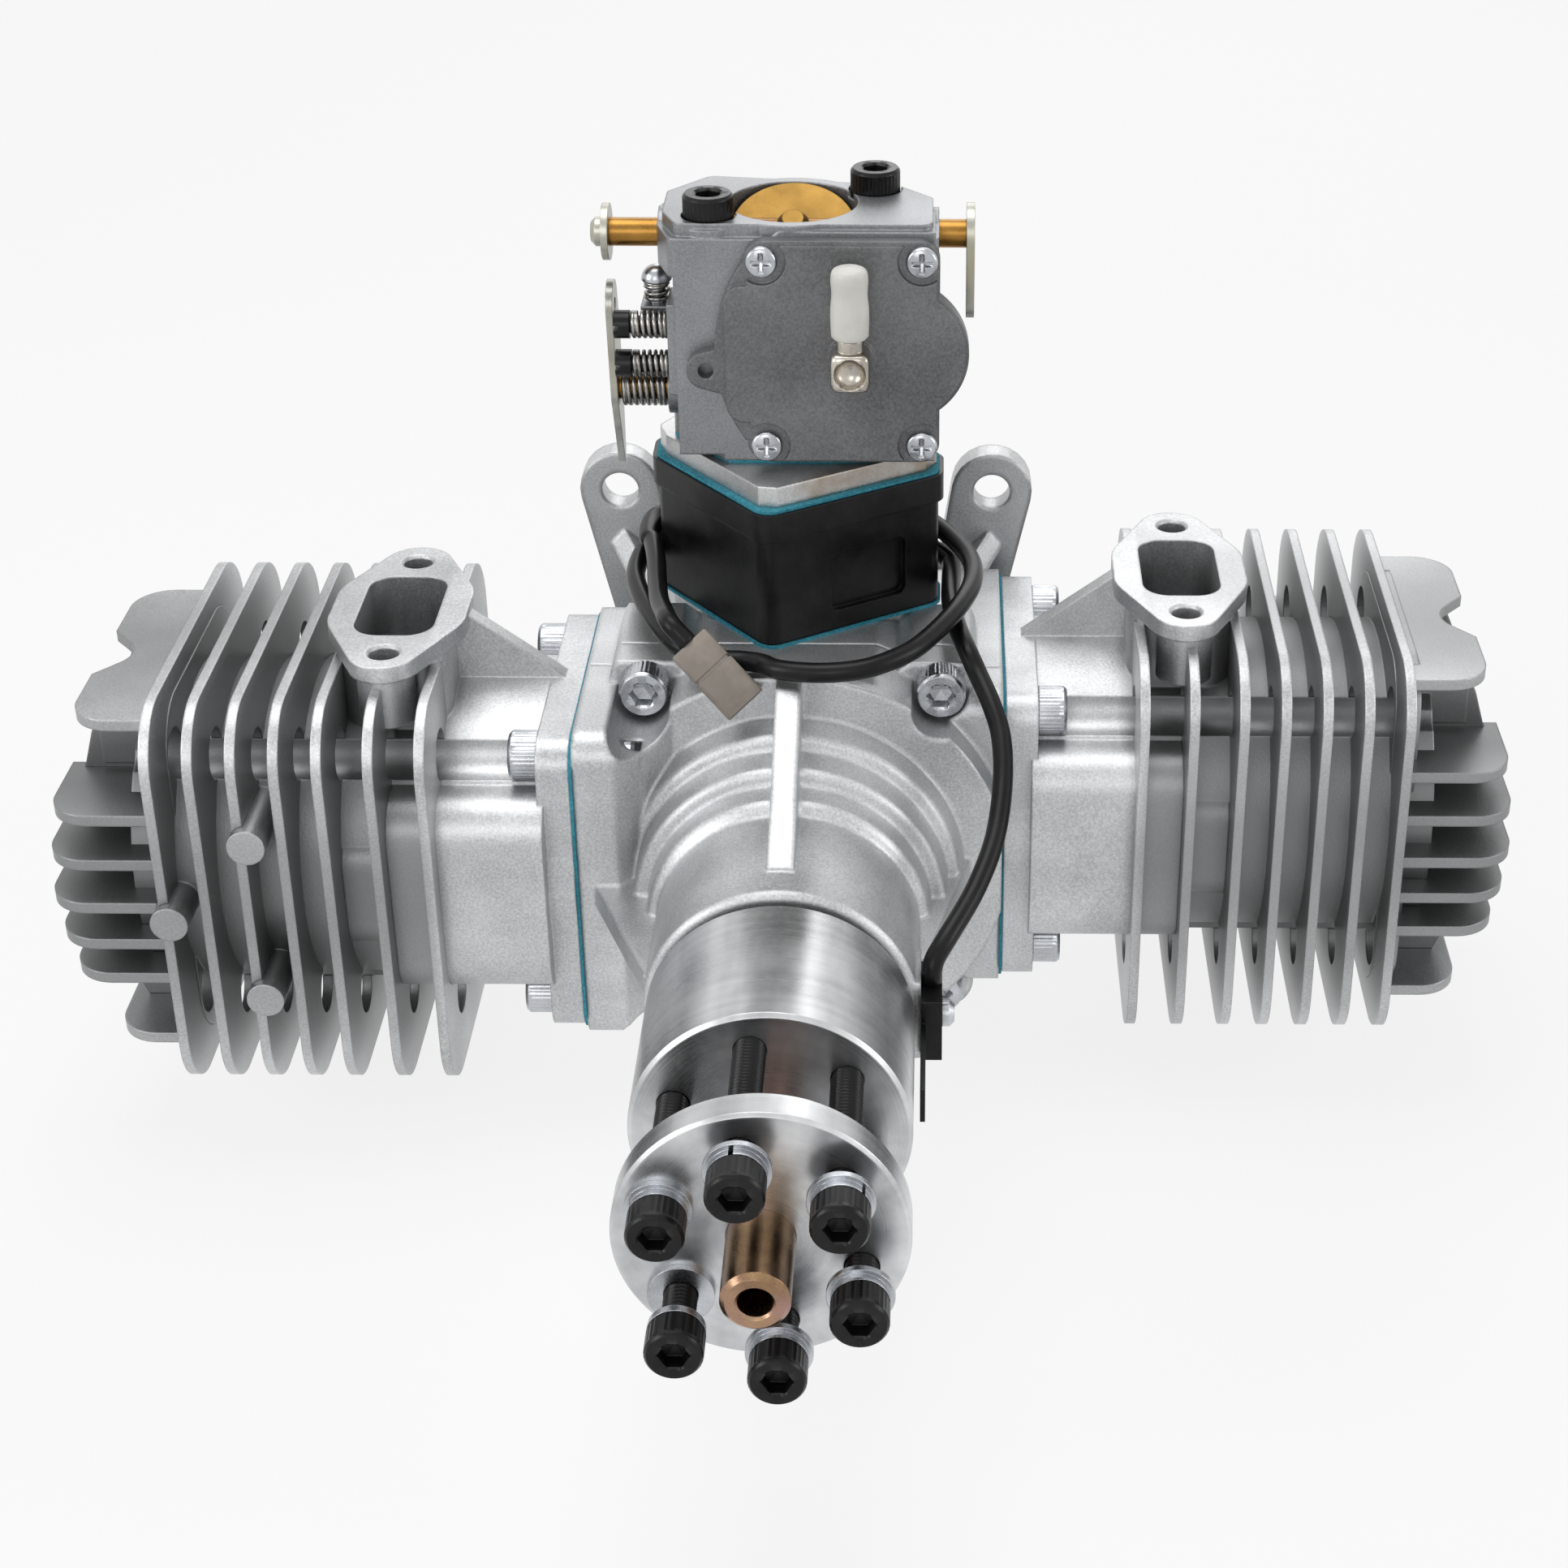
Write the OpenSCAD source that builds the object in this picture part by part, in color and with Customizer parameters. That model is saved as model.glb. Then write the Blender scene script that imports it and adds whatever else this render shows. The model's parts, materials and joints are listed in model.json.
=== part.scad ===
// Flat-twin two-stroke model aircraft engine, millimetres.
// +Z is the carburettor side, -Y the propeller end, the cylinders lie along X.
// The origin is on the crankshaft axis, in the rear face of the four mount ears.

/* [Crank train] */
// Cylinder bore
bore = 47; // [44:0.5:48]
// Piston stroke
stroke = 35; // [30:0.5:36]
// Connecting rod length between its eyes
rod_len = 61.5; // [60:0.5:64]
// Distance between the two cylinder axes along the crankshaft
cyl_offset = 17; // [16.6:0.2:18.4]
// Radius of the crank webs
web_r = 25; // [23:0.5:25.5]
// Width of each crank web
web_t = 7; // [6:0.5:7.4]
// Crankpin diameter
pin_d = 12; // [10:0.5:13]
// Wrist pin diameter
wrist_d = 11; // [9:0.5:12]
// Height of the piston crown above the wrist pin
crown_h = 18; // [16:0.5:20]
// Length of the piston
piston_len = 35; // [33:0.5:35]

/* [Crankcase] */
// Distance from the mount face to the plane halfway between the cylinders
mount_depth = 46; // [46:0.5:60]
// Distance from the crank axis to each cylinder seat
seat_x = 36; // [36:0.5:40]
// Half height of the cylinder pads
pad_h = 30; // [29.5:0.5:34]
// Inner radius of the crank chamber
chamber_r = 33.8; // [33.8:0.1:34.5]
// Wall of the crankcase drum
drum_t = 3.2; // [2.4:0.1:6]
// Half depth of the crank chamber along the shaft
chamber_h = 20.6; // [20.6:0.1:22]
// Radius of the nose
nose_r = 22; // [21.5:0.5:24]
// Distance from the middle plane to the front of the nose
nose_y = 70.3; // [69:0.5:80]
// Distance from the middle plane to the joint of the two case halves
split_y = 8; // [6:0.5:10]
// Mount hole spacing across the engine
mount_sx = 69.4; // [66:0.2:80]
// Mount hole spacing up the engine
mount_sz = 83.2; // [82:0.2:100]
// Mount hole diameter
mount_hole = 6.8; // [4:0.1:7]
// Thickness of the mount ears
ear_t = 5; // [4:0.5:8]
// Case bolt spacing across the engine
case_sx = 50.6; // [48:0.2:54]
// Case bolt spacing up the engine
case_sz = 60.6; // [60:0.2:66]

/* [Cylinders] */
// Width of the base flange along the shaft
base_y = 55; // [53:0.5:56]
// Height of the base flange
base_z = 57; // [56:0.5:60]
// Thickness of the base flange
base_t = 5.6; // [4:0.2:7]
// Base bolt spacing along the shaft
base_sy = 40.4; // [40:0.2:42]
// Base bolt spacing up the engine
base_sz = 47; // [46.6:0.2:48]
// Outer radius of the cylinder barrel
barrel_r = 28.6; // [27.5:0.1:30]
// Distance from the crank axis to the innermost fin
fin_x = 59.7; // [58:0.1:61]
// Pitch of the fins under the exhaust
fin_wide = 8.4; // [7.6:0.1:9]
// Pitch of the outer fins
fin_pitch = 7; // [6:0.1:8]
// Thickness of the barrel fins
fin_t = 1.7; // [1.2:0.1:2.4]
// Width of the fins along the shaft
fin_y = 70.8; // [66:0.2:74]
// Height of the fins
fin_z = 73.8; // [70:0.2:78]
// Corner radius of the fins
fin_r = 11; // [6:0.5:16]
// Diameter of the key holes through the fins
key_d = 9; // [8.8:0.1:9.4]
// Gap between a fin and the casting that it is set round
seat_c = 0.05; // [0.05:0.01:0.1]
// Pitch of the cylinder head fins
head_pitch = 7.8; // [7.4:0.1:8.4]
// Thickness of the cylinder head fins
head_t = 2; // [1.4:0.1:2.6]
// Distance from the crank axis to the end of the head fins
head_x = 125.5; // [120:0.5:130]

/* [Exhaust] */
// Distance from the crank axis to the exhaust flange
ex_x = 67.3; // [66:0.1:69]
// Height of the exhaust flange above the crank axis
ex_z = 41.5; // [40:0.5:46]
// Spacing of the two exhaust studs
ex_s = 35.4; // [34:0.2:38]
// Exhaust opening across
ex_w = 13.6; // [10:0.2:14]
// Exhaust opening along the shaft
ex_l = 23; // [16:0.5:24]
// Thickness of the exhaust flange
ex_t = 3; // [2:0.5:5]

/* [Drive end] */
// Diameter of the drive hub
hub_d = 42.8; // [40:0.2:46]
// Length of the drive hub
hub_len = 30.5; // [26:0.5:34]
// Gap between the nose and the drive hub
hub_gap = 1.6; // [1:0.1:3]
// Diameter of the propeller washer
washer_d = 43; // [40:0.5:48]
// Thickness of the propeller washer
washer_t = 5.5; // [4:0.5:7]
// Free space between hub and washer
prop_gap = 19; // [16:0.5:22]
// Diameter of the propeller bolt circle
prop_pcd = 30.4; // [28:0.2:33]
// Number of propeller bolts
prop_n = 6; // [4:1:6]
// Turn of the bolt circle in degrees
prop_turn = -5; // [-10:1:10]
// Length of the propeller bolts under the head
prop_bolt_len = 45; // [42:1:50]
// Diameter of the sleeve nut
sleeve_d = 10; // [9:0.5:12]
// Length of the sleeve nut in front of the hub
sleeve_out = 39; // [34:0.5:44]
// Diameter of the shaft in the nose
shaft_d = 17; // [15:0.5:18]

/* [Intake] */
// Distance from the middle plane back to the carburettor bore
in_y = 15.7; // [14:0.1:17]
// Height of the intake pad above the crank axis
pad_z = 34.2; // [33:0.1:37]
// Thickness of each paper gasket
gasket_t = 0.5; // [0.4:0.1:1]
// Height of the reed block
block_h = 24.6; // [18:0.2:28]
// Thickness of the adapter plate
adapter_t = 3.7; // [3:0.1:6]
// Diameter of the intake passage
passage_d = 23; // [20:0.5:24]

/* [Carburettor] */
// Height of the carburettor body
carb_h = 41.5; // [40:0.5:46]
// Diameter of the air intake bore
carb_bore = 22; // [20:0.2:23]
// Half spacing of the two carburettor bolts across
cbolt_x = 13.7; // [13.5:0.1:14.5]
// Half spacing of the two carburettor bolts along the shaft
cbolt_y = 7.25; // [6.8:0.05:7.6]
// Diameter of the choke and throttle shafts
shaft_c = 4.8; // [4:0.1:5.2]
// Distance of the choke shaft below the top face
choke_drop = 5.4; // [5:0.1:7]
// Height of the throttle shaft above the foot of the body
throttle_z = 8.5; // [7:0.1:10]
// Thickness of the diaphragm cover
cover_t = 3.6; // [2.6:0.1:5]

/* [Clearances] */
// Running clearance on radius
run_c = 0.05; // [0.02:0.01:0.1]
// Clearance between parts that pass each other
gap_c = 0.3; // [0.15:0.05:0.4]

/* [Hidden] */
$fn = 48;
crank_r = stroke / 2;
drum_r = chamber_r + drum_t;
top_x = crank_r + rod_len;
crown_x = top_x + crown_h;
swing = asin(crank_r / rod_len);
half = cyl_offset / 2;
pin_gap = 0.15;
cheek = half - web_t / 2;
rod_w = 2 * cheek - 1;
eye_r = pin_d / 2 + 4.5;
cyl_x = seat_x + gasket_t;
fin_end = fin_x + 2 * fin_wide + 4 * fin_pitch;
head_r = bore / 2;
wall_z = 4 * head_pitch - head_t / 2;
hub_rear = nose_y + hub_gap;
hub_front = hub_rear + hub_len;
washer_rear = hub_front + prop_gap;
washer_front = washer_rear + washer_t;
sleeve_end = hub_front + sleeve_out;
block_z = pad_z + gasket_t;
adapter_z = block_z + block_h + gasket_t;
carb_z = adapter_z + adapter_t + gasket_t;
carb_top = carb_z + carb_h;
choke_z = carb_top - choke_drop;
thr_z = carb_z + throttle_z;
cover_y = 13;
web0 = half + cheek;

// Cylinders along X, Y and Z between two stations
module cx(r, a, b) translate([a, 0, 0]) rotate([0, 90, 0]) cylinder(r = r, h = b - a);
module cy(r, a, b) translate([0, a, 0]) rotate([-90, 0, 0]) cylinder(r = r, h = b - a);
module cz(r, a, b) translate([0, 0, a]) cylinder(r = r, h = b - a);
// Plane outlines raised along X (y, z), Y (x, z) and Z (x, y)
module ex(a, b) translate([a, 0, 0]) rotate([90, 0, 90]) linear_extrude(b - a) children();
module ey(a, b) translate([0, b, 0]) rotate([90, 0, 0]) linear_extrude(b - a) children();
module ez(a, b) translate([0, 0, a]) linear_extrude(b - a) children();
// Rectangle with true round corners
module rr(w, h, r) {
    square([w - 2 * r, h], center = true);
    square([w, h - 2 * r], center = true);
    for (x = [-1, 1], y = [-1, 1]) translate([x * (w / 2 - r), y * (h / 2 - r)]) circle(r);
}
// Two circles and their common tangents
module link(p, r1, q, r2) {
    d = norm(q - p);
    a = atan2(q[1] - p[1], q[0] - p[0]);
    b = acos((r1 - r2) / d);
    translate(p) circle(r1);
    translate(q) circle(r2);
    polygon([p + r1 * [cos(a + b), sin(a + b)], p + r1 * [cos(a - b), sin(a - b)],
        q + r2 * [cos(a - b), sin(a - b)], q + r2 * [cos(a + b), sin(a + b)]]);
}
// The same outline as one plain polygon, whose mesh closes wherever other outlines cross it
function strap(p, r1, q, r2, n = 12) = let (d = q - p, a = atan2(d[1], d[0]), b = acos((r1 - r2) / norm(d)))
    concat([for (k = [0 : n]) let (t = a + b + k * (360 - 2 * b) / n) p + r1 * [cos(t), sin(t)]],
        [for (k = [0 : n]) let (t = a - b + k * 2 * b / n) q + r2 * [cos(t), sin(t)]]);
// Convex polygon, anticlockwise, grown by a radius
module rpoly(p, r) {
    n = len(p);
    polygon(p);
    for (i = [0 : n - 1]) {
        q = p[(i + 1) % n];
        d = (q - p[i]) / norm(q - p[i]);
        translate(p[i]) circle(r);
        polygon([p[i], q, q + r * [d[1], -d[0]], p[i] + r * [d[1], -d[0]]]);
    }
}
// Socket head screw along +Z, its seat at z = 0
module cap_screw(d, len) {
    difference() {
        union() {
            cylinder(r = d * 0.85, h = d * 0.9);
            translate([0, 0, d * 0.9]) cylinder(r1 = d * 0.85, r2 = d * 0.75, h = d * 0.1);
        }
        translate([0, 0, d * 0.45]) cylinder(r = d * 0.4 / cos(30), h = d, $fn = 6);
    }
    translate([0, 0, -len]) cylinder(r = d / 2, h = len);
}
// Pan head screw with a crossed recess along +Z
module pan_screw(d, len, head = 5.3) {
    difference() {
        union() {
            cylinder(r = head / 2, h = 1.2);
            translate([0, 0, 1.2]) cylinder(r1 = head / 2, r2 = head / 3, h = 0.8);
        }
        for (a = [0, 90]) rotate(a) translate([-head * 0.28, -0.4, 0.8]) cube([head * 0.56, 0.8, 2]);
    }
    translate([0, 0, -len]) cylinder(r = d / 2, h = len);
}
// The middle plane between the cylinders carries all the engine's own measures
module mid() translate([0, -mount_depth, 0]) children();
// A piece made for the right cylinder, put on the left one by half a turn
module left() mid() translate([0, -half, 0]) rotate(180) children();
module right() mid() translate([0, half, 0]) children();

// Crankcase
function case_foot() = let (s = seat_x, b = base_y / 2)
    [[-s, -half - b], [-s + 7, -half - b], [-s + 16, -26], [s - 14, -26], [s - 6, half - b], [s, half - b],
     [s, half + b], [s - 7, half + b], [s - 16, 26], [-s + 14, 26], [-s + 6, b - half], [-s, b - half]];
function block_outline(k) = [for (p = [[-4.4, -25.7], [25.1, -6.6], [25.1, -0.9], [4.4, 25.7], [-25.1, 6.6],
    [-25.1, 0.9]]) p * k];
// Each corner of an outline cut back by the same length along both its edges
function cut_corners(p, c) = let (n = len(p)) [for (i = [0 : n - 1], s = [n - 1, 1])
    let (d = p[(i + s) % n] - p[i]) p[i] + c * d / norm(d)];
module at_intake() translate([0, in_y, 0]) children();
// Pad of the intake, which ends at the joint of the case halves
module neck() ez(28, pad_z) intersection() {
    translate([0, in_y]) polygon(cut_corners(block_outline(0.965), 2.4));
    translate([-50, -split_y]) square(100);
}
module case_bosses(a, b) for (x = [-1, 1], z = [-1, 1]) ey(a, b)
    link([x * 17, z * 22], 8, [x * case_sx / 2, z * case_sz / 2], 6.2);
module nose() rotate([90, 0, 0]) rotate_extrude() polygon([[0, 8], [drum_r, 8], [drum_r, 24.6], [drum_r - 1.4, 26],
    [29.6, 26], [29, 31], [28.4, 32], [26.8, 32.4], [26.4, 38], [25.8, 38.8], [24, 39.2], [23.8, 44], [23.2, 45],
    [nose_r + 0.3, 45.6], [nose_r, 46], [nose_r, nose_y - 0.8], [nose_r - 0.8, nose_y], [0, nose_y]]);
module case_body() {
    intersection() {
        ez(-pad_h, pad_h) polygon(case_foot());
        union() {
            for (s = [-1, 1]) translate([0, s * half, 0]) ex(s > 0 ? 0 : -seat_x, s > 0 ? seat_x : 0)
                rr(base_y, 2 * pad_h, 5.5);
            translate([-15, -40, -40]) cube([30, 80, 80]);
        }
    }
    intersection() {
        ey(-26, 26) circle(drum_r);
        translate([-seat_x, -30, -drum_r]) cube([2 * seat_x, 60, 2 * drum_r]);
    }
}
module rod_room(s) intersection() {
    ey(s * half - rod_w / 2 - 1.2, s * half + rod_w / 2 + 1.2)
        translate([s > 0 ? 0 : -crank_r - eye_r - 4, -crank_r - eye_r - 0.4])
        square([crank_r + eye_r + 4, 2 * (crank_r + eye_r + 0.4)]);
    ey(-60, 60) circle(norm([top_x - rod_len * cos(swing), crank_r]) + eye_r + 0.4);
}
module case_inside() {
    ey(-chamber_h, chamber_h) circle(chamber_r);
    for (s = [-1, 1]) {
        rod_room(s);
        translate([0, s * half, 0]) rotate(s > 0 ? 0 : 180) {
            cx(bore / 2 + 1.7 + run_c, seat_x - 3.8, seat_x + 1);
            cx(bore / 2 + 0.6, crown_x - stroke - piston_len - 0.8, seat_x);
            for (y = [-1, 1], z = [-1, 1]) translate([0, y * base_sy / 2, z * base_sz / 2])
                cx(2.5, seat_x - 11, seat_x + 1);
        }
    }
    cy(21, -34, 0);
    cy(21, 0, 32.6);
    cy(17.5, -nose_y - 1, -nose_y + 16);
    cy(shaft_d / 2 + 2, -nose_y, 0);
    translate([-15, in_y - 11, 20]) cube([30, 22, pad_z]);
}
module crankcase_front() color("#b9bbbd") mid() difference() {
    union() {
        intersection() {
            case_body();
            translate([-100, -100 - split_y, -100]) cube([200, 100, 200]);
        }
        intersection() {
            nose();
            translate([-seat_x, -100, -50]) cube([2 * seat_x, 100 - split_y, 100]);
        }
        case_bosses(-15, -split_y);
        // stiffening webs from the shoulder to the nose
        ex(-2.1, 2.1) polygon([[-25, 20], [-63, 20], [-63, nose_r + 0.4], [-30, drum_r], [-25, drum_r]]);
        ez(-2.1, 2.1) polygon([[-20, -63], [-nose_r - 0.4, -63], [-seat_x + 2, -34], [-20, -25]]);
        ez(-2.1, 2.1) polygon([[20, -58], [nose_r + 1, -58], [seat_x - 4, -20], [20, -20]]);
        ex(-2.1, 2.1) polygon([[-25, -20], [-63, -20], [-63, -nose_r - 0.4], [-30, -drum_r], [-25, -drum_r]]);
        // seat of the ignition sensor
        translate([nose_r - 2.5, -70, -9]) cube([2.8, 10.5, 14]);
    }
    case_inside();
    translate([-40, -23, pad_z]) cube([80, 60, 20]);
    for (x = [-1, 1], z = [-1, 1]) translate([x * case_sx / 2, 0, z * case_sz / 2]) {
        cy(2.6, -16, 0);
        cy(5, -50, -15);
    }
    translate([nose_r - 3.6, -63.4, -4.6]) cx(1.25, 0, 6);
}
module crankcase_rear() color("#b4b6b8") mid() difference() {
    union() {
        intersection() {
            case_body();
            translate([-100, -split_y, -100]) cube([200, 200, 200]);
        }
        neck();
        case_bosses(-split_y, 8);
        cy(31, 25, mount_depth - ear_t);
        ey(mount_depth - ear_t, mount_depth) {
            let (w = mount_sx / 2 + 1.5) polygon(cut_corners([[-w, -22], [w, -22], [w, 22], [-w, 22]], 4));
            for (x = [-1, 1], z = [-1, 1])
                polygon(strap([x * 29.6, z * 15], 6.6, [x * mount_sx / 2, z * mount_sz / 2], 7.5));
        }
        for (x = [-1, 1], z = [-1, 1]) rotate([0, x * z * 42 + (x < 0 ? 180 : 0), 0])
            ez(-2, 2) polygon([[20, 24], [36, 24], [48, mount_depth - ear_t], [20, mount_depth - ear_t]]);
    }
    case_inside();
    translate([-40, -23, pad_z]) cube([80, 55, 20]);
    for (x = [-1, 1], z = [-1, 1]) {
        translate([x * case_sx / 2, 0, z * case_sz / 2]) cy(2.5, -split_y - 1, 5);
        translate([x * mount_sx / 2, 0, z * mount_sz / 2]) cy(mount_hole / 2, 0, mount_depth + 1);
    }
    for (p = block_outline(0.74)) if (abs(p[0]) < 17) at_intake() translate(p) cz(2, 30, pad_z + 1);
    cy(14, mount_depth - 4, mount_depth + 1);
}
module case_bolts() color("#c9cccf") mid() for (x = [-1, 1], z = [-1, 1])
    translate([x * case_sx / 2, -15, z * case_sz / 2]) rotate([90, 0, 0]) cap_screw(5, 18);

// Bearings
// Bearing as [near face, inner radius, outer radius, width]
function bearings() = [[-34, 10, 21, 12], [-nose_y + 6.4, shaft_d / 2, 17.5, 9.6], [20.6 + 0.4, 10, 21, 11]];
module outer_race(b) rotate([-90, 0, 0]) translate([0, 0, b[0]]) rotate_extrude() difference() {
    translate([b[2] - 0.24 * (b[2] - b[1]), 0]) square([0.24 * (b[2] - b[1]) - run_c, b[3]]);
    translate([(b[1] + b[2]) / 2, b[3] / 2]) circle(0.29 * (b[2] - b[1]) + 0.03);
}
module inner_race(b) rotate([-90, 0, 0]) translate([0, 0, b[0]]) rotate_extrude() difference() {
    translate([b[1], 0]) square([0.24 * (b[2] - b[1]), b[3]]);
    translate([(b[1] + b[2]) / 2, b[3] / 2]) circle(0.29 * (b[2] - b[1]) + 0.03);
}
module bearing_outer_races() color("#d4d6d8") mid() for (b = bearings()) outer_race(b);
module bearing_inner_races() color("#d4d6d8") mid() for (b = bearings()) inner_race(b);
module bearing_balls() color("#e4e6e8") mid() for (b = bearings(), i = [0 : 7]) rotate([0, i * 45, 0])
    translate([(b[1] + b[2]) / 2, b[0] + b[3] / 2, 0]) sphere(0.29 * (b[2] - b[1]));
module front_seal() color("#242424") mid() rotate([90, 0, 0]) translate([0, 0, nose_y - 6]) rotate_extrude()
    polygon([[shaft_d / 2 + run_c, 0.6], [10.5, 0], [17.5 - run_c, 0], [17.5 - run_c, 5.4], [10, 5.4], [shaft_d / 2 + run_c, 3]]);

// Crankshaft
module web(a, b, s) mid() ey(a, b) difference() {
    circle(web_r);
    // lightened on the crankpin side
    for (z = [-1, 1]) translate([s * 13, z * 16.5]) circle(5);
}
module crankshaft() color("#a9abae") {
    web(-web0 - web_t, -web0, -1);
    mid() {
        cy(13, -22, -web0);
        cy(10, -34, -20);
        cy(shaft_d / 2, -hub_front + 6, -33);
        cy(4, -hub_front - 9, -hub_front + 7);
    }
}
module crank_centre_web() color("#a9abae") mid() ey(-web_t / 2, web_t / 2) circle(web_r);
module crank_rear_web() color("#a9abae") {
    web(web0, web0 + web_t, 1);
    mid() {
        cy(13, web0, 20.9);
        cy(10, 20, 32.3);
    }
}

// Drive end
function prop_angles() = [for (i = [0 : prop_n - 1]) i * 360 / prop_n + 45 + prop_turn];
// Free length of each bolt between its head and the propeller washer
function prop_lift(i) = [5.9, 5.9, 2.2, 9.2, 8.6, 7.8][i];
module at_prop(i) rotate([0, -prop_angles()[i], 0]) translate([prop_pcd / 2, 0, 0]) children();
module drive_hub() color("#dcdee0") mid() difference() {
    rotate([90, 0, 0]) rotate_extrude() polygon([[shaft_d / 2, hub_rear], [hub_d / 2 - 0.8, hub_rear],
        [hub_d / 2, hub_rear + 0.8], [hub_d / 2, hub_front - 0.6],
        [hub_d / 2 - 0.6, hub_front], [sleeve_d / 2 + run_c, hub_front], [sleeve_d / 2 + run_c, hub_front - 6],
        [shaft_d / 2, hub_front - 6]]);
    for (i = [0 : prop_n - 1]) at_prop(i) cy(2.5, -hub_front - 1, -hub_front + 22);
    translate([0, -hub_rear - 16, 0]) rotate([0, 8, 0]) cx(2, hub_d / 2 - 3, hub_d);
}
module trigger_magnet() color("#8f9296") mid() translate([0, -hub_rear - 16, 0]) rotate([0, 8, 0])
    cx(2, hub_d / 2 - 3, hub_d / 2 - 0.1);
module prop_washer() color("#e2e4e6") mid() difference() {
    rotate([90, 0, 0]) rotate_extrude() polygon([[sleeve_d / 2, washer_rear], [washer_d / 2 - 0.5, washer_rear],
        [washer_d / 2, washer_rear + 0.5], [washer_d / 2, washer_front - 0.5], [washer_d / 2 - 0.5, washer_front],
        [sleeve_d / 2, washer_front]]);
    for (i = [0 : prop_n - 1]) at_prop(i) cy(2.6, -washer_front - 1, -washer_rear + 1);
}
module prop_bolts() color("#26272a") mid() for (i = [0 : prop_n - 1]) at_prop(i)
    translate([0, -washer_front - prop_lift(i), 0]) rotate([90, 0, 0]) cap_screw(5, prop_bolt_len);
module ring(r1, r2, a, b) translate([0, a, 0]) rotate([-90, 0, 0]) difference() {
    cylinder(r = r2, h = b - a);
    translate([0, 0, -1]) cylinder(r = r1, h = b - a + 2);
}
module bolt_washers() color("#c4c7ca") mid() for (i = [0 : prop_n - 1]) at_prop(i) {
    h = -washer_front - prop_lift(i);
    // split spring washer under the head
    difference() {
        ring(2.5, 4.2, h, h + 1.2);
        translate([2, h - 1, 0]) rotate([0, 0, 25]) translate([0, -1, -0.35]) cube([3, 5, 0.7]);
    }
    // flat washer, one of them slipped down on to the disc
    f = i == 3 ? -washer_front - 1 : h + 1.2;
    ring(2.5, 4.9, f, f + 1);
}
module prop_nut() color("#b9a25e") mid() rotate([90, 0, 0]) rotate_extrude() polygon([[4, hub_front - 5],
    [sleeve_d / 2, hub_front - 5], [sleeve_d / 2, sleeve_end - 0.8], [sleeve_d / 2 - 0.8, sleeve_end],
    [2.9, sleeve_end], [2.5, sleeve_end - 0.4], [2.5, sleeve_end - 18], [0, sleeve_end - 18], [0, hub_front + 9],
    [4, hub_front + 9]]);

// Cylinders
function fin_at(i) = i < 2 ? fin_x + i * fin_wide : fin_x + 2 * fin_wide + (i - 2) * fin_pitch;
// Depth of each head fin on the shaft axis, and how far its end stands back
function head_depth(i) = [25, 27.5, 29.6, 31, 32, 31, 29.6, 27.5, 25][i];
function head_back(i) = [6, 3.4, 1.4, 0.4, 0, 0.4, 1.4, 3.4, 6][i];
module flange2d() {
    for (s = [-1, 1]) link([0, s * 4], 11.7, [0, s * ex_s / 2], 5.9);
    square([23.3, 9], center = true);
}
module posts(a, b, c = 0) for (p = [[fin_at(4) - 1.5, 15], [fin_at(6) - 1, 0], [fin_at(4) - 1.5, -15]])
    translate([p[0], 0, p[1]]) cy(3.15 + c, a, b);
module head_fin(i) {
    z = (4 - i) * head_pitch;
    d = head_depth(i);
    e = head_x - head_back(i);
    ez(z - head_t / 2, z + head_t / 2) difference() {
        rpoly([[fin_end, 7 - d], [e - 7, 7 - d], [e - 7, d - 7], [fin_end, d - 7]], 7);
        if (i == 0 || i == 8) {
            translate([e + 1, 0]) circle(6);
            polygon([[e - 3, -4.6], [e + 1, -9.4], [e + 1, 9.4], [e - 3, 4.6]]);
        }
        // room for the plug and its cap between the two groups of fins
        if (i > 0 && i < 8) translate([fin_end + 2, -11]) square([40, 22]);
    }
}

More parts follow.
